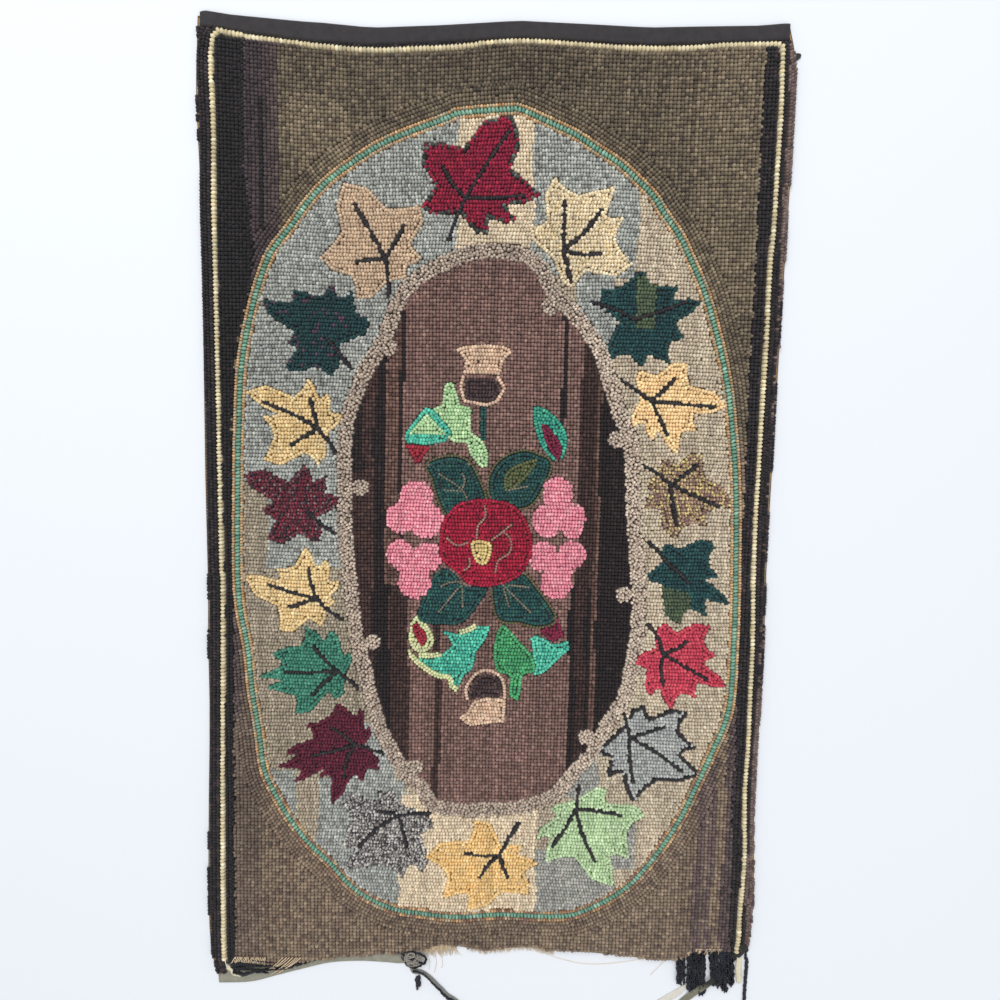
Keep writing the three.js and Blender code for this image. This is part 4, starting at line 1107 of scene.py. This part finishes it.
corner_tape = fading(
    woven("corner_tape", (34, 37, 31), (18, 20, 17), thread=0.7 * MM, relief=0.6),
    "Y", on_chart(0, -562, 0).y, on_chart(0, -572, 0).y, (122, 120, 100))
pale_ribbon = woven("pale_ribbon", (228, 225, 214), (196, 190, 178), thread=0.5 * MM, roughness=0.7)
# The lighter grey threads of this rag's knit pattern are partly its real knit and partly painted glints on the shiny
# cloth.
black_rag = woven("black_rag", (44, 45, 56), (5, 5, 7), thread=2.4 * MM, roughness=0.34, relief=1.0)
black_rag.node_tree.nodes["Principled BSDF"].inputs["Sheen Weight"].default_value = 0
black_rag.node_tree.nodes["Principled BSDF"].inputs["Specular IOR Level"].default_value = 0.3
cream_rag = woven("cream_rag", (240, 234, 210), (212, 202, 170), thread=1.2 * MM, relief=0.9)
tail = laid_out("binding_tape_end", *cloth_strip(tail_route, tape_thickness), black_tape)
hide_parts("binding_tail")
tapes = [cloth_strip(bottom_route, 1.2), cloth_strip(torn_route, 1.2)]
behind = laid_out("tape_behind_edge", *gathered(tapes), olive_tape)
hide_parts("bottom_tape")
corner = laid_out("corner_tape_end", *cloth_strip(corner_route, 0.8), corner_tape)
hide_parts("corner_tape")
ribbon = laid_out("ribbon_end", *cloth_strip(ribbon_route, 0.8), pale_ribbon)
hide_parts("pale_ribbon")
long_strip = laid_out("long_black_strip", *cloth_strip(black_route, 2.0, 0.8, 0.22), black_rag)
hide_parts("black_strip")
cream_ends = [cloth_strip(cream_route, 2.0, 0.6, 0.12), cloth_strip(left_cream_route, 1.4, 0.8, 0.2, twist=0.2)]
pulled_strip = laid_out("pulled_cream_strips", *gathered(cream_ends), cream_rag)
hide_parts("cream_strip")

# Locks of black rag hang out of the worn edge at the right, and three strips of it lie in the worn bottom
# left corner. They are cut from shiny knitted cloth and still crimped from the loops they were pulled into.
# Where each lock leaves the edge, x and y of its tip.
locks = [
    (227.5, 228, -567), (232, 233.5, -569), (239, 241, -575), (243.5, 246, -577.5), (248, 251, -580), (252.5, 256, -580),
    (255.5, 257.5, -579), (263.5, 268, -570), (266.5, 271, -568), (270, 275.5, -569.5), (274.5, 280, -573),
    (279, 284, -574.5), (283, 288, -569), (287, 291, -566)]


def bottom_at(x):
    """How far up the chart the worn bottom edge lies."""
    return (pile_shape.ray_cast(on_chart(x, -600, canvas_under + 0.1), Vector((0, 1, 0)))[0].y - chart_y) / MM


lock_forms = []
for root, tip, end in locks:
    top = bottom_at(root) - 1
    for beside_it in (-1.3, 0.9):
        lean = maker.normal(0, 0.5)
        low = end + maker.uniform(0, 4)
        route = [(root + beside_it, top, 3.4, 1.0)]
        for share in (0.25, 0.5, 0.75, 0.92):
            x = root + (tip - root) * share + beside_it + lean * share + maker.normal(0, 0.35)
            route.append((x, top + (low - top) * share, maker.uniform(2.4, 4.6), 0.9 + maker.uniform(0, 1.2)))
        route.append((tip + beside_it + lean, low, 1.8, 0.9))
        lock_forms.append(cloth_strip(route, 2.2, 0.8, 0.42, twist=maker.normal(0, 0.2), steps=7, sides=8))
hanging = laid_out("hanging_rag_locks", *gathered(lock_forms), black_rag)
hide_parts("rag_locks")
worn_routes = [
    [(-290, -545.5, 8, 1.4), (-272, -545.5, 7.5, 1.4), (-252, -546.5, 7, 1.4), (-236, -547, 5, 1.4)],
    [(-287, -551, 5, 2.4), (-272, -550.5, 5.5, 2.6), (-258, -552, 5, 2.4), (-240, -551.5, 5, 2.2), (-222, -551.5, 5, 1.8),
     (-206, -548.5, 3.4, 1.8), (-190, -543, 2.4, 1.6)],
    [(-287, -557, 5, 1.8), (-270, -556, 5.6, 2), (-256, -557.5, 5.4, 2), (-243, -556.5, 5, 1.8), (-216, -553, 3.4, 1.4)],
    [(-285, -561.5, 4.4, 1.4), (-272, -563.5, 5.6, 1.5), (-262, -560.5, 4.6, 1.4), (-244, -560.5, 3, 1.3)]]
worn_forms = [cloth_strip(route, 2.3, 0.8, 0.3, twist=0.03, steps=14, sides=8) for route in worn_routes]
lying = laid_out("lying_rag_strips", *gathered(worn_forms), black_rag)
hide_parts("worn_strips")

# The tape tore off in a tangle of its own threads, rag and sewing thread. A twisted tuft of rag hangs from it.
knot_grey, nodes, links, shader = finish_of("knot_threads", 0.8)
shader.inputs["Base Color"].default_value = (*linear(150, 145, 136), 1)


def coil(reach, radius):
    """One turn of thread somewhere in the tangle."""
    start = maker.uniform(0, 2 * math.pi)
    middle_x = -76 + maker.normal(0, 4.5)
    middle_y = -540 + maker.normal(0, 3.5)
    places = []
    for turn in np.linspace(0, 1.9 * math.pi, 7):
        far = reach * maker.uniform(0.6, 1.2)
        places.append((
            middle_x + 1.3 * far * math.cos(start + turn), middle_y + 0.9 * far * math.sin(start + turn),
            maker.uniform(1.6, 4.2)))
    line = bend(places, steps=6)
    return strand(line, np.full(len(line), radius), 5)


# The knot's black rags and the strip that trails from it: x, y, width and underside of each place.
knot_routes = [
    [(-101, -527, 2, 2), (-93.3, -533.4, 3, 3), (-86.3, -531.4, 3, 4), (-78.4, -529.3, 3.2, 4.2), (-74, -532.9, 3, 4),
     (-75.8, -535.8, 2.4, 3)],
    [(-73, -532, 3, 3), (-66.1, -534.6, 3.4, 3.6), (-62.6, -539.2, 3.4, 3.6), (-65.2, -544.9, 3.2, 3),
     (-69.6, -544, 3, 3), (-71.3, -542.2, 2.4, 3)],
    [(-92, -534, 3, 1.6), (-88, -541, 4, 1.8), (-85, -548, 3.6, 1.6), (-77, -552, 3, 1.4), (-68, -548, 3, 1.6)],
    [(-78, -556, 2.4, 1.3), (-71.9, -556.8, 2.6, 1.3), (-64.9, -560, 2.8, 1.3), (-58.6, -566.3, 2.8, 1.4),
     (-52.4, -572.8, 3, 1.5), (-47, -577.8, 2.8, 1.4), (-42.5, -583.4, 3, 1.3), (-36.2, -589, 3, 1.3),
     (-29.1, -592.5, 3, 1.3), (-18, -603, 2.4, 1.2)],
    [(-71, -561.5, 2, 0), (-71.4, -564, 5, 0.2), (-73, -567.4, 6, 0), (-71, -570.5, 7, 0), (-72.6, -574.5, 5.5, 0),
     (-73.1, -579.6, 2, 0)]]
knot_forms = [cloth_strip(route, 1.6, 0.8, 0.2, twist=0.05) for route in knot_routes]
knot_forms += [coil(maker.uniform(2, 4), maker.uniform(0.5, 0.8)) for _ in range(5)]
grey_loop = bend([(-83.7, -534.1, 5), (-80.2, -531.2, 5.6), (-75.8, -533, 5.2), (-77.5, -536.7, 4.8), (-81.9, -535.9, 4.8)],
                 closed=True)
knot = laid_out("torn_tangle", *gathered(knot_forms), black_rag)
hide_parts("torn_knot")
knot_threads = laid_out(
    "tangle_threads",
    *gathered([strand(grey_loop, np.full(len(grey_loop), 0.9), 6)]
              + [coil(maker.uniform(3, 8), maker.uniform(0.35, 0.7)) for _ in range(22)]), knot_grey)

# The burlap's own threads stick out where its edge is bare: short fuzzy ends along the bottom, slanting and
# broken threads over the worn corner, and one thin thread that has come away and lies on the floor.
jute, nodes, links, shader = finish_of("jute_threads", 0.8, 0.2)
shader.inputs["Base Color"].default_value = (*linear(214, 174, 126), 1)
pale_jute, nodes, links, shader = finish_of("pale_jute_threads", 0.8, 0.2)
shader.inputs["Base Color"].default_value = (*linear(224, 200, 164), 1)
frays = [
    dict(node="jute_fray_left", tufts=np.linspace(-64, -31, 14), ends=170, reach=13, height=1.9, finish=pale_jute),
    dict(node="jute_fray_middle", tufts=np.linspace(-11, 83, 50), ends=420, reach=9, height=1.9, finish=pale_jute),
    dict(node="jute_fray_right", tufts=[238, 247, 250, 252, 259, 262, 268, 273], ends=110, reach=10, height=4.6, finish=pale_jute),
]


def jute_end(x, y, height, reach, lean, radius=0.36):
    """One bare thread end that runs down the chart from its root and curls a little."""
    curl = maker.normal(0, 0.12)
    places = []
    for share in np.linspace(0, 1, 6):
        places.append((
            x + reach * (lean * share + curl * share**2), y - reach * share,
            max(height * (1 - 0.75 * share) + 0.6 * math.sin(3 * share + curl * 20), 0.15)))
    return strand(places, radius * np.linspace(1, 0.35, 6), 3)


for fray in frays:
    forms = []
    for x in maker.choice(fray["tufts"], fray["ends"]) + maker.normal(0, 1.1, fray["ends"]):
        reach = fray["reach"] * maker.uniform(0.4, 1.25)
        forms.append(jute_end(x, bottom_at(x), fray["height"], reach, maker.normal(0.05, 0.3)))
    laid_out(fray["node"].replace("jute_", "bare_"), *gathered(forms), fray["finish"])
    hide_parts(fray["node"])
thread_forms = []
for x in np.arange(-285, -247, 1.9):
    lean = maker.normal(0, 0.8)
    places = [(x + lean, -547.5 - maker.uniform(0, 2), 3.8), (x + 1.6, -544, 5.0), (x + 3 - lean, -540, 6.2)]
    thread_forms.append(strand(bend(places, steps=4), np.full(9, maker.uniform(0.4, 0.65)), 5))
for low, high in ((-249, -226), (-247.5, -222), (-246, -218.5), (-241, -215), (-237, -211), (-234, -209), (-232, -206)):
    rise = maker.uniform(-2, 2)
    places = [(low, -562 + rise, 1.6), (0.4 * low + 0.6 * high, -549 + 0.3 * rise, 5.6), (high, -539, 6.4)]
    thread_forms.append(strand(bend(places, steps=4), np.full(9, maker.uniform(0.4, 0.6)), 5))
torn_threads = laid_out("torn_jute_threads", *gathered(thread_forms), pale_jute)
hair_lines = [
    [(56, -524, 1.6), (88, -537, 0.4), (125, -544, 0.3), (172, -539, 0.4), (216, -526, 1.6)],
    [(-64, -533, 1.8), (-58.7, -543.5, 0.6), (-59.5, -554.8, 0.3)],
    [(-54.4, -532, 1.8), (-50.8, -545, 0.6), (-53.3, -558.4, 0.3)],
    [(-46.5, -532, 1.8), (-43.7, -547, 0.6), (-45.4, -552.6, 0.3)],
    [(222, -529, 1.6), (212, -538, 0.5), (204, -547, 0.3), (196, -556, 0.3)],
]
hair_forms = [strand(line, np.full(len(line), 0.22), 4) for line in (bend(hair, steps=8) for hair in hair_lines)]
stray_threads = laid_out("stray_threads", *gathered(hair_forms), pale_jute)

# The back shows every loop as a short flat stitch of its own wool along the burlap, which no lining covers.
back_places = np.vstack([places for places, _, _ in all_loops])
back_sizes = np.vstack([sizes for _, sizes, _ in all_loops])
back_shades = np.vstack([shades for _, _, shades in all_loops])
stitch = np.array([(-0.5, -0.42), (0.5, -0.42), (0.5, 0.42), (-0.5, 0.42), (-0.5, 0), (0.5, 0)])
stitch_faces = np.array([(0, 4, 5, 1), (2, 5, 4, 3)])
for name, mine in (("back_stitches_left", back_sizes[:, 0] < 0), ("back_stitches_right", back_sizes[:, 0] >= 0)):
    x, y, way, long, wide, tall = back_sizes[mine].T
    count = len(x)
    across = stitch[None, :, 0] * long[:, None]
    up = stitch[None, :, 1] * wide[:, None]
    points = np.empty((count, 6, 3))
    points[:, :, 0] = chart_x + MM * (x[:, None] + across * np.cos(way)[:, None] - up * np.sin(way)[:, None])
    points[:, :, 1] = chart_y + MM * (y[:, None] + across * np.sin(way)[:, None] + up * np.cos(way)[:, None])
    points[:, :4, 2] = canvas_under * MM
    points[:, 4:, 2] = MM * maker.uniform(0.35, 0.7, (count, 1))
    faces = (stitch_faces[None] + 6 * np.arange(count)[:, None, None]).reshape(-1, 4)
    stitches = laid_out(name, points.reshape(-1, 3), faces.tolist(), hooked_wool)
    colour = np.ones((count, 6, 4))
    colour[:, :, :3] = 0.85 * back_shades[mine][:, None, :]
    stitches.data.color_attributes.new("loop_colour", "FLOAT_COLOR", "POINT").data.foreach_set("color", colour.ravel())
    rug_loops.append(stitches)

# The floor is a plain pale sweep. A broad soft light stands above the rug's top edge, and the camera
# looks straight down from a little above the middle, as a photographer stands over a rug.
bpy.ops.mesh.primitive_plane_add(size=12, location=(0, 0, -0.0003))
floor = bpy.context.object
floor.name = "floor"
pale, nodes, links, shader = finish_of("pale_floor", 0.9)
shader.inputs["Base Color"].default_value = (*linear(232, 236, 241), 1)
floor.data.materials.append(pale)
world = bpy.data.worlds.new("room")
world.use_nodes = True
world.node_tree.nodes["Background"].inputs["Color"].default_value = (0.97, 0.98, 1.0, 1)
world.node_tree.nodes["Background"].inputs["Strength"].default_value = 0.72
bpy.context.scene.world = world


def soft_light(name, place, aim, size, power):
    """A square soft box."""
    lamp = bpy.data.lights.new(name, "AREA")
    lamp.size = size
    lamp.energy = power
    stand = bpy.data.objects.new(name, lamp)
    stand.location = place
    stand.rotation_euler = (Vector(aim) - Vector(place)).to_track_quat("-Z", "Y").to_euler()
    bpy.context.scene.collection.objects.link(stand)


soft_light("key_light", (-0.7, 2.2, 2.4), (0, 0, 0), 1.6, 50)
soft_light("fill_light", (0.9, -1.6, 2.6), (0, 0, 0), 2.0, 16)
camera_data = bpy.data.cameras.new("camera")
camera_data.lens = 28
camera_data.sensor_width = 36
camera = bpy.data.objects.new("camera", camera_data)
bpy.context.scene.collection.objects.link(camera)
right = Vector((0.99979673, 0.02007125, -0.00191059))
up = Vector((-0.02016198, 0.99529761, -0.09474257))
back = Vector((0, 0.09476183, 0.99549997))
pose = Matrix((right, up, back)).transposed().to_4x4()
pose.translation = on_chart(11.5, 71.1, 835.5 + 6.6)
camera.matrix_world = pose
bpy.context.scene.camera = camera
bpy.context.scene.view_settings.view_transform = "Standard"
